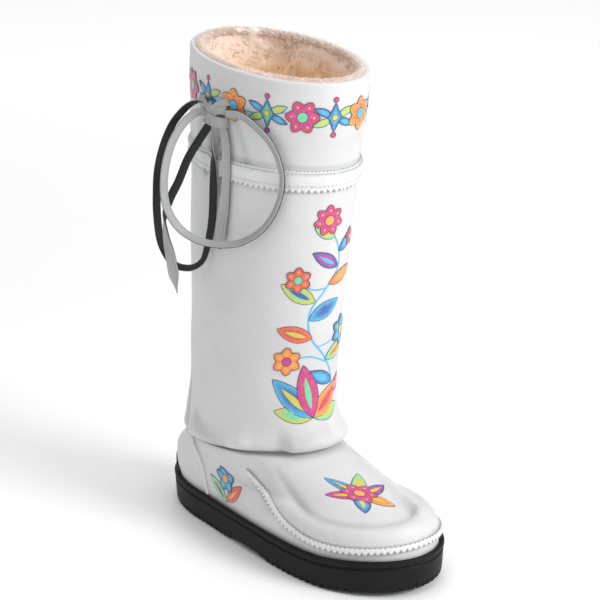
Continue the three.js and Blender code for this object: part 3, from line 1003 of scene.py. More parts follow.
def paint_finish(name):
    """Flexible leather paint in several inks, with the grain showing through."""
    tree, shader = new_finish(name, 0.36)
    ink = attribute(tree, "ink")["Color"]
    pores = placed(tree, grain_group(), Cell_Scale=900.0, Crumple=0.9)
    slow = ranged(tree, noise_node(tree, place_of(tree), 260.0, 4.0, 0.6), 0.5, 0.85, 0.0, 0.2)
    worn = math_node(tree, "ADD", slow, math_node(tree, "MULTIPLY", pores["Pores"], 0.08), clamp=True)
    tree.links.new(blend_colour(tree, worn, ink, (0.72, 0.7, 0.68, 1)), shader.inputs["Base Color"])
    bump(tree, shader, pores["Height"], 0.5, 0.0001)


def thread_finish(name, clean, worn):
    """Waxed thread with a fine twist."""
    tree, shader = new_finish(name, 0.6, sheen=0.1)
    tone = placed(tree, tone_group(), Scale=300.0, Drift=0.4, Clean=clean, Worn=worn)
    tree.links.new(tone["Color"], shader.inputs["Base Color"])
    bump(tree, shader, noise_node(tree, place_of(tree), 2600.0, 2.0), 0.6, 0.0001)


def floor_finish(name, pale):
    """Plain pale floor that stays evenly bright away from the boot."""
    tree, shader = new_finish(name, 0.75, specular=0.2)
    worn = colour(channel * 0.97 for channel in pale[:3])
    tone = placed(tree, tone_group(), Scale=3.0, Drift=0.12, Clean=pale, Worn=worn)
    tree.links.new(tone["Color"], shader.inputs["Base Color"])
    reach = tree.nodes.new("ShaderNodeVectorMath")
    reach.operation = "LENGTH"
    tree.links.new(place_of(tree), reach.inputs[0])
    away = ranged(tree, reach.outputs["Value"], FLOOR_GLOW_FROM, FLOOR_GLOW_FULL)
    tree.links.new(blend_colour(tree, away, (0, 0, 0, 1), (1, 1, 1, 1)), shader.inputs["Emission Color"])
    shader.inputs["Emission Strength"].default_value = FLOOR_GLOW


def length_property(name, description, default):
    return bpy.props.FloatProperty(
        name=name, description=description, default=default, min=0.0, unit="LENGTH", subtype="DISTANCE",
        precision=5,
    )


def colour_property(name, description, default):
    return bpy.props.FloatVectorProperty(
        name=name, description=description, default=default, size=3, min=0.0, max=1.0, subtype="COLOR"
    )


class BootSizes(bpy.types.PropertyGroup):
    """Sizes of the finish that can be changed without touching the solids."""

    skin_step: length_property("Leather step", "Distance between points of the leather", 1.62 * MM)
    rim_radius: length_property("Rim radius", "Radius of the rolled leather edge at the collar", 2.3 * MM)
    curl: length_property("Curl", "How far the curls of the shearling stand out", 1.5 * MM)
    crest_tuft: length_property("Crest tuft", "Length of the wool tufts along the collar", 3.8 * MM)
    wall_tuft: length_property("Wall tuft", "Length of the wool tufts inside the shaft", 3.6 * MM)
    strip_thickness: length_property("Strip thickness", "How far the seam strip stands out", 2.0 * MM)
    tooth_pitch: length_property("Tooth pitch", "Distance between the teeth of a pinked edge", 4.7 * MM)
    stitch_pitch: length_property("Stitch pitch", "Distance between stitches", 3.1 * MM)
    stitch_length: length_property("Stitch length", "Length of one stitch", 2.2 * MM)
    lace_width: length_property("Lace width", "Width of the flat leather lace", 6.4 * MM)
    lace_thickness: length_property("Lace thickness", "Thickness of the flat leather lace", 2.0 * MM)
    piping_width: length_property("Piping width", "Width of the raised piping at the heel", 3.2 * MM)
    crest_tufts: bpy.props.IntProperty(
        name="Crest tufts", description="Number of tufts on the collar", default=11000
    )
    wall_tufts: bpy.props.IntProperty(
        name="Wall tufts", description="Number of tufts in the shaft", default=5200
    )


class BootColours(bpy.types.PropertyGroup):
    """Colours of the boot's materials and inks."""

    leather: colour_property("Leather", "Clean white leather", (0.66, 0.66, 0.665))
    # Painted highlight: strips, pinked edges and piping are the same white leather, given a lighter colour so
    # that they look more lit
    trim: colour_property("Trim leather", "Leather of the strips and pinked edges", (0.74, 0.74, 0.745))
    # Colour of the shade painted into the leather's creases and cut edges, also the far end of the slow
    # mottling of the leather and the thread
    leather_shade_and_mottle: colour_property("Leather in creases", "Leather in its creases", (0.3, 0.3, 0.31))
    rubber: colour_property("Rubber", "Moulded rubber of the sole", (0.0045, 0.0045, 0.005))
    rubber_dust: colour_property("Rubber dust", "Dust low on the rubber", (0.018, 0.0175, 0.017))
    wool_root: colour_property("Wool root", "Shearling at the root", (0.95, 0.76, 0.62))
    wool_tip: colour_property("Wool tip", "Shearling at the tips", (1.0, 0.9, 0.83))
    wool_deep: colour_property("Wool inside", "Shearling deep inside the shaft", (0.97, 0.62, 0.29))
    lace: colour_property("Lace", "Grey face of the lace", (0.37, 0.37, 0.375))
    lace_worn: colour_property("Lace worn", "Worn grey of the lace", (0.24, 0.24, 0.245))
    lace_back: colour_property("Lace reverse", "Black reverse of the lace", (0.006, 0.006, 0.007))
    thread: colour_property("Thread", "Thread of the seams", (0.78, 0.78, 0.78))
    floor: colour_property("Floor", "Pale studio floor", (0.97, 0.97, 0.97))
    outline: colour_property("Ink outline", "Dark outline of the motifs", (0.012, 0.01, 0.014))
    magenta: colour_property("Magenta", "Magenta ink", (0.58, 0.015, 0.27))
    crimson: colour_property("Crimson", "Crimson ink", (0.6, 0.04, 0.1))
    sky: colour_property("Sky", "Sky blue ink", (0.06, 0.45, 0.75))
    royal: colour_property("Royal", "Royal blue ink", (0.017, 0.1, 0.38))
    olive: colour_property("Yellow", "Olive yellow ink", (0.62, 0.56, 0.045))
    orange: colour_property("Orange", "Orange ink", (0.82, 0.15, 0.03))
    apricot: colour_property("Apricot", "Apricot ink", (0.86, 0.37, 0.06))
    mint: colour_property("Mint", "Mint ink", (0.15, 0.62, 0.35))


class BootStage(bpy.types.PropertyGroup):
    """Camera and light."""

    target: bpy.props.FloatVectorProperty(
        name="Target", description="Point that the camera looks at", default=(0.0905, 0.0064, 0.1945),
        size=3, unit="LENGTH",
    )
    camera: bpy.props.FloatVectorProperty(
        name="Camera", description="Place of the camera", default=(1.2248, -0.9668, 0.7055), size=3,
        unit="LENGTH",
    )
    lens: bpy.props.FloatProperty(name="Lens", description="Focal length in millimetres", default=123.2)
    sky: bpy.props.FloatProperty(name="Sky", description="Strength of the light from all round", default=0.52)


def finishes(context):
    """All materials of the boot, made once."""
    if "White leather" in bpy.data.materials:
        return {material.name: material for material in bpy.data.materials}
    tones = context.scene.boot_colours
    leather = colour(tones.leather)
    # worn is the colour of the leather's painted shade and mottling
    worn = colour(tones.leather_shade_and_mottle)
    leather_finish("White leather", leather, worn, 0.8, 900.0)
    # Trim: the white leather in a lighter colour as a painted highlight, with painted shade on its cut edges
    leather_finish("Trim leather", colour(tones.trim), worn, 0.8, 1200.0, 0.00008, 0.5)
    grey, worn_grey = colour(tones.lace), colour(tones.lace_worn)
    leather_finish("Grey lace leather", grey, worn_grey, 0.4, 1300.0, 0.00012, 0.5)
    black, worn_black = colour(tones.lace_back), (0.02, 0.02, 0.02, 1)
    leather_finish("Black lace leather", black, worn_black, 0.4, 1300.0, 0.00012, 0.6)
    rubber_finish("Black rubber", colour(tones.rubber), colour(tones.rubber_dust))
    wool_finish("Shearling", colour(tones.wool_root), colour(tones.wool_tip), colour(tones.wool_deep))
    paint_finish("Motif paint")
    thread_finish("White thread", colour(tones.thread), worn)
    floor_finish("Studio floor", colour(tones.floor))
    return {material.name: material for material in bpy.data.materials}


def put(context, name, data, place, aim):
    """Camera or light at a place, turned towards a point."""
    thing = bpy.data.objects.new(name, data)
    context.scene.collection.objects.link(thing)
    thing.location = place
    thing.rotation_euler = (Vector(aim) - Vector(place)).to_track_quat("-Z", "Y").to_euler()
    return thing


def build_camera(context):
    """Camera at the photograph's angle."""
    stage = context.scene.boot_stage
    data = bpy.data.cameras.new("Boot camera")
    data.lens = stage.lens
    context.scene.camera = put(context, "boot_camera", data, stage.camera, stage.target)


def build_lights(context):
    """Soft studio lights, and even light from all round."""
    for name, place, aim, width, power in LIGHTS:
        data = bpy.data.lights.new(name, "AREA")
        data.shape = "DISK"
        data.size = width
        data.energy = power
        put(context, name, data, place, aim)

    context.scene.view_settings.view_transform = "Standard"
    world = bpy.data.worlds.new("Studio world")
    world.use_nodes = True
    sky = world.node_tree.nodes["Background"].inputs
    sky["Color"].default_value = (1, 1, 1, 1)
    sky["Strength"].default_value = context.scene.boot_stage.sky
    context.scene.world = world


def build_floor(context):
    """Plain pale floor just under the sole."""
    side = np.linspace(-FLOOR_HALF, FLOOR_HALF, FLOOR_POINTS)
    across, along = np.meshgrid(side, side)
    points = np.stack([along, -across, np.full_like(along, -FLOOR_DROP)], -1).reshape(-1, 3)
    faces = grid_faces(FLOOR_POINTS, FLOOR_POINTS, False)
    mesh = bpy.data.meshes.new("floor")
    mesh.from_pydata(points.tolist(), [], faces.tolist())
    mesh.materials.append(finishes(context)["Studio floor"])
    floor = bpy.data.objects.new("floor", mesh)
    context.scene.collection.objects.link(floor)


def build_stage(context):
    """Camera, light and floor."""
    build_camera(context)
    build_lights(context)
    build_floor(context)


def strap(shape, path, degrees, sizes, widths=None):
    """Flat lace along a path, its grey face turned by so many degrees from the outer side."""
    along = tangents(path)
    level = np.tile(np.array(OUTER_SIDE), (len(path), 1))
    level = unit(level - (level * along).sum(-1, keepdims=True) * along)
    side = np.cross(along, level)
    angle = np.radians(degrees)[:, None]
    facing = level * np.cos(angle) + side * np.sin(angle)
    section = strap_section(sizes.lace_width, sizes.lace_thickness)
    sweep(shape, path, facing, section, lambda column: column >= REVERSE_FROM, widths)


def build_laces(context):
    """The bow: two loops and two tails of flat lace that leave the knot, and the knot itself."""
    sizes = context.scene.boot_sizes
    skins = [finishes(context)["Grey lace leather"], finishes(context)["Black lace leather"]]
    knot = build_knot(skins)
    for name, facts in LACES.items():
        route = smooth_course(np.array(facts["route"]) * MM, LACE_POINTS)
        share = np.linspace(0, 1, len(route))
        degrees = np.interp(share, *np.array(facts["turned"], float).T)
        widths = np.ones(len(route))
        if facts["far_end"] == "bare":
            tip = mix(TAIL_TIP, 1.0, soften((1 - share) / TAIL_TAPER))
            widths = tip * mix(1.0, TAIL_WIDTH, soften((share - TAIL_FLAT_FROM) / 0.3))
        shape = Shape()
        strap(shape, route, degrees, sizes, widths)
        piece = shape.build(name + "_strap", skins, "grey_lace")
        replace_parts(piece, name)


def build_knot(skins):
    """Knot of the bow: the lace wound once round the two straps that come from the cuff."""
    middle = np.array(KNOT)
    shape = Shape()
    turn = np.linspace(0, 2 * math.pi, KNOT_POINTS)
    wound = middle + np.stack([
        KNOT_HALF_WIDTH * np.cos(turn), KNOT_BACK + KNOT_HALF_DEPTH * np.sin(turn),
        -KNOT_DROP - KNOT_SLANT * np.cos(turn),
    ], -1)
    facing = np.stack([np.cos(turn), np.sin(turn), np.ones(KNOT_POINTS)], -1) * KNOT_FACING
    width, thickness = KNOT_LACE
    sweep(shape, wound * MM, facing, strap_section(width * MM, thickness * MM))
    width, thickness = KNOT_STRAP
    for places in KNOT_STRAPS:
        route = smooth_course((middle + np.array(places)) * MM, STRAP_POINTS)
        facings = np.tile(KNOT_STRAP_FACING, (STRAP_POINTS, 1))
        sweep(shape, route, facings, strap_section(width * MM, thickness * MM))
    knot = shape.build("lace_knot_wound", skins, "grey_lace")
    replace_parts(knot, "lace_knot")
    return knot


def build_held_laces(context):
    """Lace between the slits in the cuff and the knot, and the slits themselves as flat black patches of
    painted shade.
    """
    sizes = context.scene.boot_sizes
    skins = [finishes(context)["Grey lace leather"], finishes(context)["Black lace leather"]]
    for name, points in HELD_STRAPS.items():
        route = smooth_course(np.array(points) * MM, STRAP_POINTS)
        shape = Shape()
        strap(shape, route, np.full(STRAP_POINTS, HELD_TURN), sizes)
        shape.build(name, skins, "grey_lace")
    # Each slit is a black patch on the cuff: painted shade of its opening
    shape = Shape()
    patch = Patch(*SLIT_PATCH)
    for turn, row, slant in SLITS:
        x, y = patch.place_of(turn, row)
        outline = spun(lens_outline(SLIT_LENGTH, SLIT_WIDTH), slant) + (x, y)
        add_blob(shape, patch, outline, (x, y), SLIT_RAISED, (0, 0, 0), (0, 0, 0))
    shape.build("lace_slits", [finishes(context)["Black lace leather"]], "grey_lace")


def build_leather(context):
    """Leather skin of the upper, from the feather line over the rolled collar edge."""
    sizes = context.scene.boot_sizes
    around = turns(LEATHER_AROUND)
    rows = row_steps(0, COLLAR_ROW, sizes.skin_step)
    points, facing, shade = skin(around[None, :], rows[:, None])
    top = points[-1]
    rising = unit(points[-1] - points[-3])
    roll = []
    for angle in np.linspace(0, math.pi, 9)[1:]:
        inward = facing[-1] * sizes.rim_radius * (math.cos(angle) - 1)
        roll.append(top + inward + rising * sizes.rim_radius * math.sin(angle))
    inner = roll[-1]
    for depth in ROLL_DEPTHS:
        roll.append(inner - rising * depth)
    points = np.concatenate([points, np.array(roll)])
    # The crease attribute holds the shade painted by the creases, plus a darkening of the foot towards the
    # sole
    hem = np.clip((HEM_TOP - points[..., 2]) / HEM_FADE, 0, 1) * HEM_DARKENING
    shade = np.concatenate([shade, np.zeros((len(roll), len(around)))])
    shape = Shape()
    shape.grid(points, closed=True, crease=np.minimum(shade + hem, 1))
    piece = shape.build("leather_upper", [finishes(context)["White leather"]], "white_leather")
    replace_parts(piece, "upper")


def build_fleece(sizes, wool):
    """Sheet of curled wool from the crest over the collar down to the footbed."""
    around = turns(LINING_AROUND)
    ring_facing = outward(around, COLLAR_ROW)
    ring = form(around, COLLAR_ROW)
    rings = []
    for out, up in CREST_PROFILE:
        rings.append(ring + ring_facing * out * MM + np.array((0, 0, up * MM)))
    inside = row_steps(LINING_ROW, COLLAR_ROW - 0.15, LINING_STEP)[::-1]
    level = level_outward(around[None, :], inside[:, None])
    for row, side in zip(inside, level):
        inset = WALL + FOLD_PADDING * math.exp(-((row - FOLD_ROW) ** 2))
        below = FOLD_SINK * soften((row - 4) / 3) * soften((FOLD_ROW + 0.6 - row) / 1.2)
        rings.append(form(around, row) - side * inset - np.array((0, 0, below)))
    points = np.array(rings)
    flat = points.reshape(-1, 3)
    lumps = np.array([
        sum(share * noise.noise(Vector(point) * waves) for waves, share in WOOL_LUMPS) for point in flat
    ]).reshape(points.shape[:2])
    over = len(CREST_PROFILE)
    facing = np.concatenate([np.repeat(ring_facing[None], over, 0), level])
    height = np.zeros_like(facing)
    height[:over, :, 2] = 1
    share = np.clip(np.arange(len(points)) / (over - 1), 0, 1)[:, None, None]
    away = unit(mix(height, -facing, share))
    points = points + away * (lumps * sizes.curl)[..., None]
    shape = Shape()
    tip = np.clip(0.45 + lumps * 0.5, 0, 1)
    shape.grid(points[:, ::-1], closed=True, tip=tip[:, ::-1])
    shape.build("shearling_lining", wool, "shearling")


def build_crest_tufts(sizes, wool, rng):
    """Loose tufts all over the crest, leaning out near the leather and in near the opening."""
    count = sizes.crest_tufts
    turn = rng.uniform(0, 2 * math.pi, count)
    place = rng.uniform(0, 1, count) ** 0.85
    out = mix(CREST_NEAR, CREST_FAR, place)
    up = CREST_TOP - CREST_FALL * (2 * place - 0.9) ** 2
    side = outward(turn, COLLAR_ROW)
    base = form(turn, COLLAR_ROW) + side * out[:, None] * MM
    base[:, 2] += (up - CREST_ROOT) * MM
    lean = side * mix(0.35, -1.0, place)[:, None] + np.array((0, 0, 1))
    lean = unit(lean + rng.normal(0, 0.33, (count, 3)))
    long = sizes.crest_tuft * rng.uniform(0.55, 1.15, count) * mix(0.75, 1.0, place)
    add_tufts("crest_tufts", base, lean, long, rng.uniform(0.45, 0.75, count) * MM, rng, wool)


def build_wall_tufts(sizes, wool, rng):
    """Loose tufts on the upper wall of the shaft, fewer further down."""
    count = sizes.wall_tufts
    turn = rng.uniform(0, 2 * math.pi, count)
    row = COLLAR_ROW - rng.uniform(0, 1, count) ** 1.25 * WALL_TUFT_REACH
    side = outward(turn, row)
    base = form(turn, row) - side * (WALL - WALL_TUFT_ROOT)
    lean = unit(-side * 0.25 + np.array((0, 0, 0.8)) + rng.normal(0, 0.3, (count, 3)))
    long = sizes.wall_tuft * rng.uniform(0.6, 1.2, count)
    add_tufts("wall_tufts", base, lean, long, rng.uniform(0.6, 1.0, count) * MM, rng, wool)


def build_lining(context):
    """Shearling lining: fleece down the inside, loose tufts, and wool on the insole."""
    sizes = context.scene.boot_sizes
    wool = [finishes(context)["Shearling"]]
    rng = np.random.default_rng(TUFT_SEED)
    build_fleece(sizes, wool)
    build_crest_tufts(sizes, wool, rng)
    build_wall_tufts(sizes, wool, rng)
    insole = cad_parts["insole"]
    insole.data.materials.clear()
    insole.data.materials.append(wool[0])


def add_tufts(name, base, lean, long, thick, rng, wool):
    """Curved wool tufts of few sides, joined in one mesh."""
    count = len(base)
    sides = TUFT_SIDES
    levels = len(TUFT_RINGS)
    helper = np.where(np.abs(lean[:, 2:3]) < 0.9, np.array((0, 0, 1.0)), np.array((1.0, 0, 0)))
    first = unit(np.cross(lean, helper))
    second = np.cross(lean, first)
    bend = rng.normal(0, 0.35, (count, 2))
    curl = first * bend[:, :1] + second * bend[:, 1:]
    rings = []
    for share, width in TUFT_RINGS:
        centre = base + lean * (long * share)[:, None] + curl * (long * share * share)[:, None]
        for corner in range(sides):
            turn = corner / sides * 2 * math.pi
            spoke = first * math.cos(turn) + second * math.sin(turn)
            rings.append(centre + spoke * (thick * width / 2)[:, None])
    end = base + lean * long[:, None] + curl * long[:, None]
    points = np.stack(rings + [end], 1)
    offset = (np.arange(count) * (sides * levels + 1))[:, None]
    shape = Shape()
    tips = np.tile(np.repeat(TUFT_TIPS, [sides] * levels + [1]), (count, 1))
    tips = np.clip(tips + rng.normal(0, 0.12, (count, 1)), 0, 1)
    faces = []
    for level in range(levels - 1):
        for corner in range(sides):
            low = level * sides + corner
            beside = level * sides + (corner + 1) % sides
            faces += [(low, beside, beside + sides), (low, beside + sides, low + sides)]
    last = sides * (levels - 1)
    for corner in range(sides):
        faces.append((last + corner, last + (corner + 1) % sides, sides * levels))
    every = (np.array(faces).reshape(1, -1) + offset).reshape(-1, 3)
    shape.add(points, every, tip=tips)
    shape.build(name, wool, "shearling")


def feather_edge(turn, out):
    """Edge of the sole, moved out level with the floor."""
    side = outward(turn, np.zeros_like(turn))
    side[..., 2] = 0
    return form(turn, np.zeros_like(turn)) + unit(side) * np.asarray(out)[..., None]


def build_rubber_sole(rubber):
    """Moulded sole: lip, groove under it, notched lower edge and a lugged underside."""
    around = turns(SOLE_AROUND)
    along = (1 + np.cos(around)) / 2
    low = tread(along)
    high = PLATFORM + LIP_HEIGHT + spring(along)
    edge = feather_edge(around, np.zeros_like(around))
    length = np.concatenate([[0], np.cumsum(np.linalg.norm(np.diff(edge, axis=0), axis=1))])
    arch = soften((along - 0.33) / 0.05) * soften((0.6 - along) / 0.05)
    rings = []
    for out, up in SIDEWALL:
        slanted = length / (LUG_PITCH / 2) + up * NOTCH_SLANT
        notch = soften((0.2 - np.abs(slanted % 1 - 0.5)) / 0.09)
        depth = notch * soften((NOTCH_REACH - up) / 0.12) * (1 - arch) * NOTCH_DEPTH
        ring = feather_edge(around, out * LEDGE - depth)
        ring[:, 2] = mix(low, high, up)
        rings.append(ring)
    shape = Shape()
    shape.grid(np.array(rings), closed=True)

    # Underside in rings that shrink towards the middle line
    shares = np.concatenate([np.linspace(1, 0.55, 22), np.linspace(0.52, 0, 20)])
    border = rings[0]
    middle = (border + border[-np.arange(len(border)) % len(border)]) / 2
    under = []
    for share in shares:
        ring = mix(middle, border, share)
        slanted = ring[:, 0] / LUG_PITCH + np.abs(ring[:, 1] - middle[:, 1]) / (BAR_SLANT * LUG_PITCH)
        bar = soften((0.19 - np.abs(slanted % 1 - 0.5)) / 0.05)
        rail = soften((RAIL_HALF - abs(share - RAIL_PLACE)) / 0.02)
        lift = np.maximum(bar * (share > 0.03), rail) * (1 - 0.6 * arch)
        ring[:, 2] = tread(along) + lift * BAR_DEPTH
        under.append(ring)
    shape.grid(np.array(under)[:, ::-1], closed=True)
    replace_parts(shape.build("rubber_sole", rubber, "black_rubber"), "outsole")


def build_heel_cup(rubber):
    """Cup of the sole that rises up the back of the heel."""
    column = np.arange(CUP_COLUMNS)
    turn = np.radians(np.linspace(180 - CUP_REACH, 180 + CUP_REACH, CUP_COLUMNS))
    crown = np.cos(np.linspace(-1, 1, CUP_COLUMNS) * math.pi / 2)
    top = mix(CUP_ENDS, CUP_CROWN, crown**0.7)
    edge_fade = soften(np.minimum(column, column[::-1]) / 5)
    shell = []
    for share in np.linspace(0, 1, CUP_RINGS):
        row = mix(CUP_FOOT, top, share)
        thick = mix(CUP_WALL, CUP_WALL * 0.6, share) * soften((1.02 - share) / 0.1)
        shell.append(form(turn, row) + outward(turn, row) * (0.1 * MM + thick * edge_fade)[:, None])
    shape = Shape()
    shape.grid(np.array(shell))
    shape.build("heel_cup", rubber, "black_rubber")


def build_sole(context):
    """Rubber sole with its heel cup."""
    rubber = [finishes(context)["Black rubber"]]
    build_rubber_sole(rubber)
    build_heel_cup(rubber)


def seam_frame(places, spacing):
    """Points on the leather along a seam, with the directions along, out and across."""
    rough = smooth_course(course_of(places), 400)
    turn = np.radians(rough[:, 0])
    rough_points = skin(turn, rough[:, 1])[0]
    length = np.concatenate([[0], np.cumsum(np.linalg.norm(np.diff(rough_points, axis=0), axis=1))])
    wanted = np.linspace(0, length[-1], int(length[-1] / spacing) + 1)
    turn = np.interp(wanted, length, turn)
    row = np.interp(wanted, length, rough[:, 1])
    points, facing, _ = skin(turn, row)
    along = tangents(points)
    across = unit(np.cross(facing, along))
    return points, along, facing, across, wanted


def strip(shape, points, facing, across, low, high, thick):
    """Flat strip on the leather between two edges, with rounded shoulders and shade painted on its cut edges.
    """
    lines = []
    for share, height, _ in STRIP_PROFILE:
        place = mix(low, high, share)
        lines.append(points + across * place[:, None] + facing * (thick * height)[:, None])
    # Painted shade on the cut edges, carried by the crease attribute
    edges = [edge for _, _, edge in reversed(STRIP_PROFILE)]
    shape.grid(np.stack(lines[::-1], 1), crease=np.tile(edges, (len(points), 1)))


def teeth(length, pitch, margin, reach):
    """How far a scalloped edge stands out along a seam."""
    return (margin + reach * np.abs(np.sin(length / pitch * math.pi)) ** 0.8) * MM


def values_at(values, lengths, wanted):
    """Vectors read off at the wanted lengths along a course."""
    return np.stack([np.interp(wanted, lengths, values[:, axis]) for axis in range(3)], -1)


def stitches(shape, points, along, facing, sizes, lift):
    """Row of raised stitches along the given points."""
    gaps = np.concatenate([[0], np.cumsum(np.linalg.norm(np.diff(points, axis=0), axis=1))])
    middle = np.arange(sizes.stitch_pitch / 2, gaps[-1], sizes.stitch_pitch)
    centre = values_at(points, gaps, middle)
    ahead = unit(values_at(along, gaps, middle))
    up = unit(values_at(facing, gaps, middle))
    side = np.cross(up, ahead)
    for index in range(len(middle)):
        rings = []
        for share, width in STITCH_RINGS:
            spot = centre[index] + ahead[index] * share * sizes.stitch_length / 2
            spot = spot + up[index] * (lift + (1 - share * share) * STITCH_RISE)
            ring = []
            for turn in turns(STITCH_SIDES):
                reach = width * STITCH_HALF_WIDTH
                spoke = side[index] * math.cos(turn) + up[index] * math.sin(turn) * STITCH_FLATNESS
                ring.append(spot + spoke * reach)
            rings.append(ring)
        shape.grid(np.array(rings)[:, ::-1], closed=True)


def build_seam_strip(sizes, leather, pinked, thread):
    """Strip round the shaft, its scalloped lower edge and the fine pinked line above it."""
    middle_row = (STRIP_LOW_ROW + STRIP_HIGH_ROW) / 2
    ring_places = tuple((turn, middle_row) for turn in range(0, 361, 10))
    points, along, facing, across, length = seam_frame(ring_places, 0.7 * MM)
    half = np.full(len(points), STRIP_HALF)
    thick = np.full(len(points), sizes.strip_thickness)
    shape = Shape()
    strip(shape, points, facing, across, -half, half, thick)
    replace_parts(shape.build("seam_strip_leather", leather, "white_leather"), "seam_strip")

    scallop = half + teeth(length, sizes.tooth_pitch, *STRIP_LOW_TEETH)
    strip(pinked, points, facing, across, -scallop, -half + 1 * MM, thick * 0.75)
    fine = half + teeth(length, sizes.tooth_pitch * 0.6, *STRIP_HIGH_TEETH)
    strip(pinked, points, facing, across, half - 1 * MM, fine, thick * 0.5)
    for offset in (-half + 0.9 * MM, half - 0.9 * MM):
        stitches(thread, points + across * offset[:, None], along, facing, sizes, sizes.strip_thickness)


def build_vamp_edge(sizes, pinked, thread):
    """Pinked seam round the vamp, with stitches along it."""
    points, along, facing, across, length = seam_frame(VAMP_SEAM, 0.6 * MM)
    ends = soften(np.minimum(length, length[-1] - length) / (4 * MM))
    tooth = teeth(length, sizes.tooth_pitch, *VAMP_LOW_TEETH) * ends
    upper_edge = teeth(length + 1 * MM, sizes.tooth_pitch * 0.8, *VAMP_HIGH_TEETH) * ends
    strip(pinked, points, facing, across, -tooth, upper_edge, VAMP_THICKNESS * ends)
    stitches(thread, points + across * VAMP_STITCH_LINE, along, facing, sizes, 0.05 * MM)


def build_heel_piping(sizes, leather):
    """Raised piping at both ends of the heel counter."""
    shape = Shape()
    section = round_section(sizes.piping_width, sizes.piping_width, 12)
    for places in (HEEL_PIPING, tuple((360 - turn, row) for turn, row in HEEL_PIPING)):
        points, _, facing, _, _ = seam_frame(places, 1.2 * MM)
        sweep(shape, points + facing * 0.6 * MM, facing, section)
    shape.build("heel_piping", leather, "white_leather")


def build_trim(context):
    """Seam strip round the shaft, pinked edges, vamp seam, heel piping and all stitching."""
    sizes = context.scene.boot_sizes
    leather = [finishes(context)["Trim leather"]]
    pinked = Shape()
    thread = Shape()
    build_seam_strip(sizes, leather, pinked, thread)
    build_vamp_edge(sizes, pinked, thread)
    pinked.build("pinked_edges", leather, "white_leather")
    build_heel_piping(sizes, leather)
    thread.build("stitching", [finishes(context)["White thread"]], "white_leather")


class Patch:
    """Flat drawing laid on the leather: x runs round the boot and y up it, in metres."""

    def __init__(self, turn, low, high, spread):
        self.rows = np.linspace(low, high, PATCH_ROWS)
        self.turns = math.radians(turn) + np.radians(np.linspace(-spread, spread, PATCH_COLUMNS))
        facing = raised(self.turns[None, :], self.rows[:, None])
        proud = sized(self.rows)[:, None, PROUD : PROUD + 1]
        points = form(self.turns[None, :], self.rows[:, None]) + facing * proud
        middle = len(self.turns) // 2
        rises = np.linalg.norm(np.diff(points[:, middle], axis=0), axis=1)
        self.up = np.concatenate([[0], np.cumsum(rises)])
        self.up -= self.up[-1] / 2
        steps = np.linalg.norm(np.diff(points, axis=1), axis=2)
        self.across = np.concatenate([np.zeros((len(self.rows), 1)), np.cumsum(steps, axis=1)], 1)
        self.across -= self.across[:, middle : middle + 1]

    def place_of(self, turn, row):
        """Drawing coordinates of a place on the boot."""
        level = int(np.abs(self.rows - row).argmin())
        return (
            float(np.interp(math.radians(turn), self.turns, self.across[level])),
            float(np.interp(row, self.rows, self.up)),
        )

    def lay(self, flat, out):
        """Points on the leather for points of the drawing."""
        flat = np.asarray(flat, float)
        row = np.interp(flat[:, 1], self.up, self.rows)
        level = np.clip(np.searchsorted(self.rows, row) - 1, 0, len(self.rows) - 2)
        turn = np.array([
            np.interp(x, self.across[index], self.turns) for x, index in zip(flat[:, 0], level)
        ])
        return skin(turn, row, out)[0]


def spun(outline, degrees):
    angle = math.radians(degrees)
    turned = np.array(((math.cos(angle), -math.sin(angle)), (math.sin(angle), math.cos(angle))))
    return np.asarray(outline) @ turned.T


def lens_outline(length, width, point=1.0, count=28):
    """Leaf or petal from its base at the origin to its tip up the y axis."""
    turn = turns(count)
    y = length * (1 - np.cos(turn)) / 2
    belly = np.maximum(np.sin(y / length * math.pi), 0) ** (0.35 * point)
    x = width / 2 * np.sin(turn) * (1.15 - 0.3 * point * y / length) * belly
    return np.stack([x, y], -1)


def disc_outline(radius, count=24):
    turn = turns(count)
    return np.stack([np.sin(turn) * radius, -np.cos(turn) * radius], -1)


def diamond_outline(width, height, count=32):
    """Lozenge with slightly hollow sides."""
    turn = turns(count)
    wave = np.abs(np.cos(turn)) + np.abs(np.sin(turn))
    reach = 1 / wave**1.25
    return np.stack([np.sin(turn) * reach * width / 2, -np.cos(turn) * reach * height / 2], -1)


def add_blob(shape, patch, outline, centre, out, inside, outside):
    """Filled outline on the leather, its ink running from one colour at the middle to another."""
    outline = np.asarray(outline, float)
    centre = np.asarray(centre, float)
    count = len(outline)
    rings = [centre[None, :]]
    inks = [np.array([colour(inside)])]
    for share in RING_SHARES:
        rings.append(centre + (outline - centre) * share)
        ink = mix(np.array(inside), np.array(outside), max(share * 1.6 - 0.6, 0))
        inks.append(np.tile(np.append(ink, 1), (count, 1)))
    points = patch.lay(np.concatenate(rings), out)
    side = np.arange(count)
    following = (side + 1) % count
    faces = [(0, 1 + s, 1 + f) for s, f in zip(side, following)]
    for level in range(len(RING_SHARES) - 1):
        low = 1 + level * count
        high = low + count
        faces += [(low + s, high + s, high + f) for s, f in zip(side, following)]
        faces += [(low + s, high + f, low + f) for s, f in zip(side, following)]
    shape.add(points, faces, ink=np.concatenate(inks))


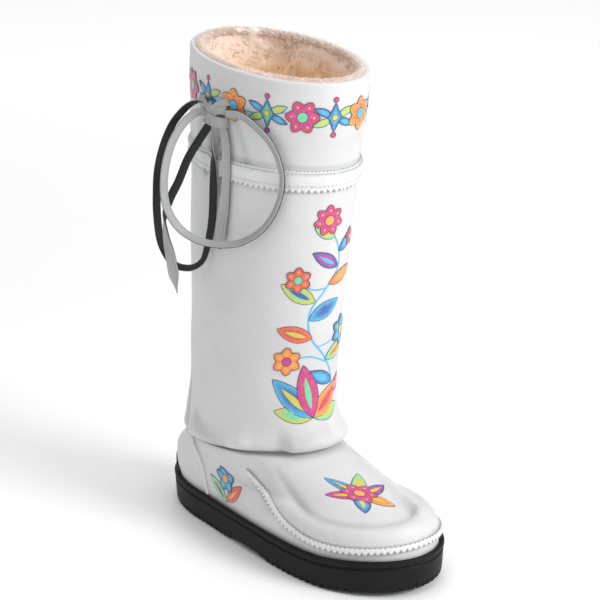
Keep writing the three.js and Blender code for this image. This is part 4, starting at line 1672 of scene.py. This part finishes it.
class Drawing:
    """Painted motif on one patch of the boot, every form with a thin dark outline."""

    EDGE = 0.5 * MM
    FIRST = 0.14 * MM
    LAYER = 0.07 * MM
    STEM = 0.13 * MM

    def __init__(self, context, patch, up=0.0):
        self.tones = context.scene.boot_colours
        self.patch = patch
        self.shape = Shape()
        self.up = np.array((0, up * MM))

    def form(self, outline, centre, inside, outside, level=0, edge=EDGE):
        """One closed form with its outline."""
        outline = np.asarray(outline, float) + self.up
        centre = centre + self.up
        ahead = np.roll(outline, -1, 0) - np.roll(outline, 1, 0)
        normal = unit(np.stack([ahead[:, 1], -ahead[:, 0]], -1))
        wider = outline + normal * edge
        dark = tuple(self.tones.outline)
        base = self.FIRST + level * 2 * self.LAYER
        if edge > 0:
            add_blob(self.shape, self.patch, wider, centre, base, dark, dark)
        inks = self.ink(inside), self.ink(outside)
        add_blob(self.shape, self.patch, outline, centre, base + self.LAYER, *inks)

    def ink(self, name):
        return tuple(getattr(self.tones, name))

    def leaf(self, x, y, length, width, degrees, inside, outside, vein=None, level=1, point=1.0):
        spot = np.array((x, y)) * MM
        outline = spun(lens_outline(length * MM, width * MM, point), degrees) + spot
        centre = spun(np.array([(0, length * 0.5 * MM)]), degrees)[0] + spot
        self.form(outline, centre, inside, outside, level)
        if vein:
            narrow = spun(lens_outline(length * 0.62 * MM, width * 0.3 * MM), degrees)
            lift = spun(np.array([(0, length * 0.16 * MM)]), degrees)[0] + spot
            middle = spun(np.array([(0, length * 0.47 * MM)]), degrees)[0] + spot
            self.form(narrow + lift, middle, vein, vein, level + 1, 0.0)

    def disc(self, x, y, radius, inside, outside=None, level=3, edge=EDGE):
        spot = np.array((x, y)) * MM
        self.form(disc_outline(radius * MM) + spot, spot, inside, outside or inside, level, edge)

    def diamond(self, x, y, width, height, inside, outside, level=1):
        spot = np.array((x, y)) * MM
        self.form(diamond_outline(width * MM, height * MM) + spot, spot, inside, outside, level)

    def blossom(self, x, y, radius, petals, inside, outside, heart, start=0.0, level=3):
        """Round-petalled flower."""
        for index in range(petals):
            degrees = start + index / petals * 360
            width = radius * 3.0 / petals + radius * 0.12
            self.leaf(x, y, radius, width, degrees, inside, outside, level=level, point=0.3)
        self.disc(x, y, radius * 0.3, heart, heart, level=level + 1.2)
        for index in range(petals):
            angle = math.radians(start + index / petals * 360)
            reach = radius * 0.66
            dot = x - math.sin(angle) * reach, y + math.cos(angle) * reach
            self.disc(*dot, radius * 0.07, "olive", level=level + 1.2, edge=0.0)

    def stem(self, points, width, tone):
        """Thin ribbon of one ink through the given points."""
        route = smooth_course(np.array(points, float) * MM, len(points) * 9) + self.up
        ahead = unit(np.gradient(route, axis=0))
        normal = np.stack([-ahead[:, 1], ahead[:, 0]], -1)
        lines = [route + normal * width * MM * side for side in (0.5, 0, -0.5)]
        flat = np.stack(lines, 1)
        laid = self.patch.lay(flat.reshape(-1, 2), self.STEM).reshape(len(route), 3, 3)
        ink = np.tile(np.append(self.ink(tone), 1), (len(route) * 3, 1))
        self.shape.grid(laid[:, ::-1], ink=ink)

    def build(self, name, finish):
        self.shape.build(name, [finish], "print")


def cuff_link(drawing, x, pitch, odd):
    """One repeat of the chain round the cuff: a rosette, then a lozenge with leaves."""
    inside, outside = ("magenta", "crimson") if odd else ("orange", "apricot")
    other = x + pitch / 2
    wave = ((x - pitch / 2, 0), (x - pitch / 4, 2), (x, 0), (x + pitch / 4, -2), (other, 0))
    drawing.stem(wave, 1.2, "sky")
    drawing.blossom(x, 0, 12.5, 6, inside, outside, "mint" if odd else "sky", 30 if odd else 0)
    for side in (1, -1):
        for reach in (1, -1):
            tilt = reach * (-68 if side > 0 else -112)
            inks = ("olive", "mint") if side == reach else ("sky", "royal")
            drawing.leaf(other + reach * 2.5, side * 1.4, 14, 5.2, tilt, *inks, level=1)
        drawing.disc(other, side * 13.2, 1.7, "crimson" if odd else "magenta", level=2)
    drawing.diamond(other, 0, 11, 22, "sky" if odd else "mint", "royal", 2)
    drawing.disc(other, 0, 2.1, "olive", level=4, edge=0.3 * MM)


def paint_cuff(context, paint):
    """Chain round the cuff, in four quarters that each have their own patch."""
    for name, turn in CUFF_QUARTERS:
        patch = Patch(turn, *CUFF_PATCH)
        low, level = patch.place_of(turn - 45, CUFF_LINE)
        high = patch.place_of(turn + 45, CUFF_LINE)[0]
        drawing = Drawing(context, patch, level / MM)
        pitch = (high - low) / MM / CUFF_LINKS
        for index in range(CUFF_LINKS):
            cuff_link(drawing, low / MM + pitch * (index + 0.25), pitch, index % 2 == 0)
        drawing.build("cuff_motif_" + name, paint)


def paint_shaft(context, paint):
    """Vine with leaves and flowers up the front of the shaft."""
    drawing = Drawing(context, Patch(*SHAFT_PATCH), SHAFT_UP)
    vine = (
        (-5, -73), (9, -60), (13, -46), (3, -26), (-10, -8), (-12, 12), (0, 30), (10, 46), (8, 62), (-2, 78),
    )
    drawing.stem(vine, 1.5, "sky")
    # Leaves at its foot, each in its own layer so that the later ones lie over the earlier
    for length, width, degrees, inside, outside, vein, level in (
        (31, 12, 78, "mint", "olive", None, 0),
        (28, 12, -80, "olive", "mint", None, 0.25),
        (45, 16, 46, "royal", "sky", "olive", 0.6),
        (36, 15, -48, "orange", "apricot", "crimson", 0.85),
        (43, 16, 12, "crimson", "magenta", "mint", 2.2),
    ):
        drawing.leaf(-5, -73, length, width, degrees, inside, outside, vein, level)
    for x, y, length, width, degrees, inside, outside, vein in (
        (11, -56, 28, 11, -72, "magenta", "crimson", "apricot"),
        (13, -48, 26, 10, 64, "sky", "royal", None),
        (4, -28, 31, 12, -66, "olive", "mint", "orange"),
        (-9, -9, 28, 12, 74, "crimson", "orange", "olive"),
        (-12, 6, 28, 12, -62, "royal", "sky", None),
        (-9, 20, 30, 12, 62, "mint", "olive", "royal"),
        (2, 33, 28, 10, -70, "apricot", "orange", None),
        (9, 46, 26, 10, 60, "magenta", "royal", "sky"),
        (9, 58, 22, 9, -58, "sky", "royal", None),
        (3, 70, 19, 8, 62, "olive", "mint", None),
    ):
        drawing.leaf(x, y, length, width, degrees, inside, outside, vein)
    for x, y, radius, petals, inside, outside, heart, link in (
        (-3, 84, 12, 7, "magenta", "crimson", "apricot", None),
        (21, -8, 12, 6, "sky", "royal", "olive", ((-4, -17), (8, -14), (21, -8))),
        (-23, 38, 10, 6, "orange", "crimson", "mint", ((0, 30), (-12, 30), (-23, 38))),
        (-27, -27, 11, 6, "apricot", "orange", "magenta", ((6, -31), (-10, -24), (-27, -27))),
        (24, 66, 7, 5, "crimson", "magenta", "olive", ((9, 60), (16, 60), (24, 66))),
    ):
        if link:
            drawing.stem(link, 1.2, "sky")
        drawing.blossom(x, y, radius, petals, inside, outside, heart)
    drawing.build("shaft_motif", paint)


def paint_toe(context, paint):
    """Flower on six leaves over the toe."""
    drawing = Drawing(context, Patch(*TOE_PATCH))
    for degrees, inside, outside in (
        (25, "royal", "sky"), (-35, "olive", "mint"), (155, "sky", "royal"), (-145, "orange", "apricot"),
        (90, "crimson", "magenta"), (-90, "magenta", "royal"),
    ):
        drawing.leaf(0, 0, 26, 10, degrees, inside, outside, "olive")
    drawing.blossom(0, 0, 12, 6, "magenta", "crimson", "apricot")
    drawing.build("toe_motif", paint)


def paint_heel(context, paint):
    """Sprig on each side of the heel."""
    for name, turn, side in HEEL_SIDES:
        drawing = Drawing(context, Patch(turn, *HEEL_PATCH))
        drawing.stem(((0, -13), (side * 1.5, -5), (0, 5)), 1.4, "sky")
        drawing.leaf(0, -13, 27, 9, side * 54, "olive", "mint", "royal")
        drawing.leaf(0, -12, 27, 9, side * -50, "crimson", "orange", "apricot")
        drawing.blossom(0, 6, 11, 5, "sky", "royal", "apricot")
        drawing.build("heel_motif_" + name, paint)


def build_prints(context):
    """Painted motifs on the cuff, the shaft, the toe and the heel."""
    paint = finishes(context)["Motif paint"]
    for paint_part in (paint_cuff, paint_shaft, paint_toe, paint_heel):
        paint_part(context, paint)


class BOOT_OT_stage(bpy.types.Operator):
    """Set up the camera, the light and the floor"""

    bl_idname = "boot.stage"
    bl_label = "Stage"

    def execute(self, context):
        build_stage(context)
        return {"FINISHED"}


class BOOT_OT_bow(bpy.types.Operator):
    """Make the knot, the loops and the tails of the lace"""

    bl_idname = "boot.bow"
    bl_label = "Bow"

    def execute(self, context):
        build_laces(context)
        return {"FINISHED"}


class BOOT_OT_held_lace(bpy.types.Operator):
    """Make the lace in the cuff and its slits"""

    bl_idname = "boot.held_lace"
    bl_label = "Held lace"

    def execute(self, context):
        build_held_laces(context)
        return {"FINISHED"}


class BOOT_OT_leather(bpy.types.Operator):
    """Make the leather of the upper"""

    bl_idname = "boot.leather"
    bl_label = "Leather"

    def execute(self, context):
        build_leather(context)
        return {"FINISHED"}


class BOOT_OT_lining(bpy.types.Operator):
    """Make the shearling lining"""

    bl_idname = "boot.lining"
    bl_label = "Lining"

    def execute(self, context):
        build_lining(context)
        return {"FINISHED"}


class BOOT_OT_sole(bpy.types.Operator):
    """Make the rubber sole and the heel cup"""

    bl_idname = "boot.sole"
    bl_label = "Sole"

    def execute(self, context):
        build_sole(context)
        return {"FINISHED"}


class BOOT_OT_trim(bpy.types.Operator):
    """Make the strips, seams, piping and stitches"""

    bl_idname = "boot.trim"
    bl_label = "Trim"

    def execute(self, context):
        build_trim(context)
        return {"FINISHED"}


class BOOT_OT_motifs(bpy.types.Operator):
    """Paint the motifs on the leather"""

    bl_idname = "boot.motifs"
    bl_label = "Motifs"

    def execute(self, context):
        build_prints(context)
        return {"FINISHED"}


OPERATORS = (
    BOOT_OT_stage,
    BOOT_OT_bow,
    BOOT_OT_held_lace,
    BOOT_OT_leather,
    BOOT_OT_lining,
    BOOT_OT_sole,
    BOOT_OT_trim,
    BOOT_OT_motifs,
)

GROUPS = (("boot_sizes", BootSizes), ("boot_colours", BootColours), ("boot_stage", BootStage))


class BOOT_PT_panel(bpy.types.Panel):
    """Sidebar panel with a button for each group of pieces, and their sizes and colours"""

    bl_idname = "BOOT_PT_panel"
    bl_label = "Mukluk boot"
    bl_space_type = "VIEW_3D"
    bl_region_type = "UI"
    bl_category = "Boot"

    def draw(self, context):
        for entry in OPERATORS:
            self.layout.operator(entry.bl_idname)
        for name, group in GROUPS:
            for label in group.__annotations__:
                self.layout.prop(getattr(context.scene, name), label)


def register():
    for name, group in GROUPS:
        bpy.utils.register_class(group)
        setattr(bpy.types.Scene, name, bpy.props.PointerProperty(type=group))
    for entry in (*OPERATORS, BOOT_PT_panel):
        bpy.utils.register_class(entry)


def unregister():
    for entry in (BOOT_PT_panel, *reversed(OPERATORS)):
        bpy.utils.unregister_class(entry)
    for name, group in reversed(GROUPS):
        delattr(bpy.types.Scene, name)
        bpy.utils.unregister_class(group)


def main():
    register()
    bpy.ops.boot.stage()
    bpy.ops.boot.bow()
    bpy.ops.boot.held_lace()
    bpy.ops.boot.leather()
    bpy.ops.boot.lining()
    bpy.ops.boot.sole()
    bpy.ops.boot.trim()
    bpy.ops.boot.motifs()


if __name__ == "__main__":
    main()
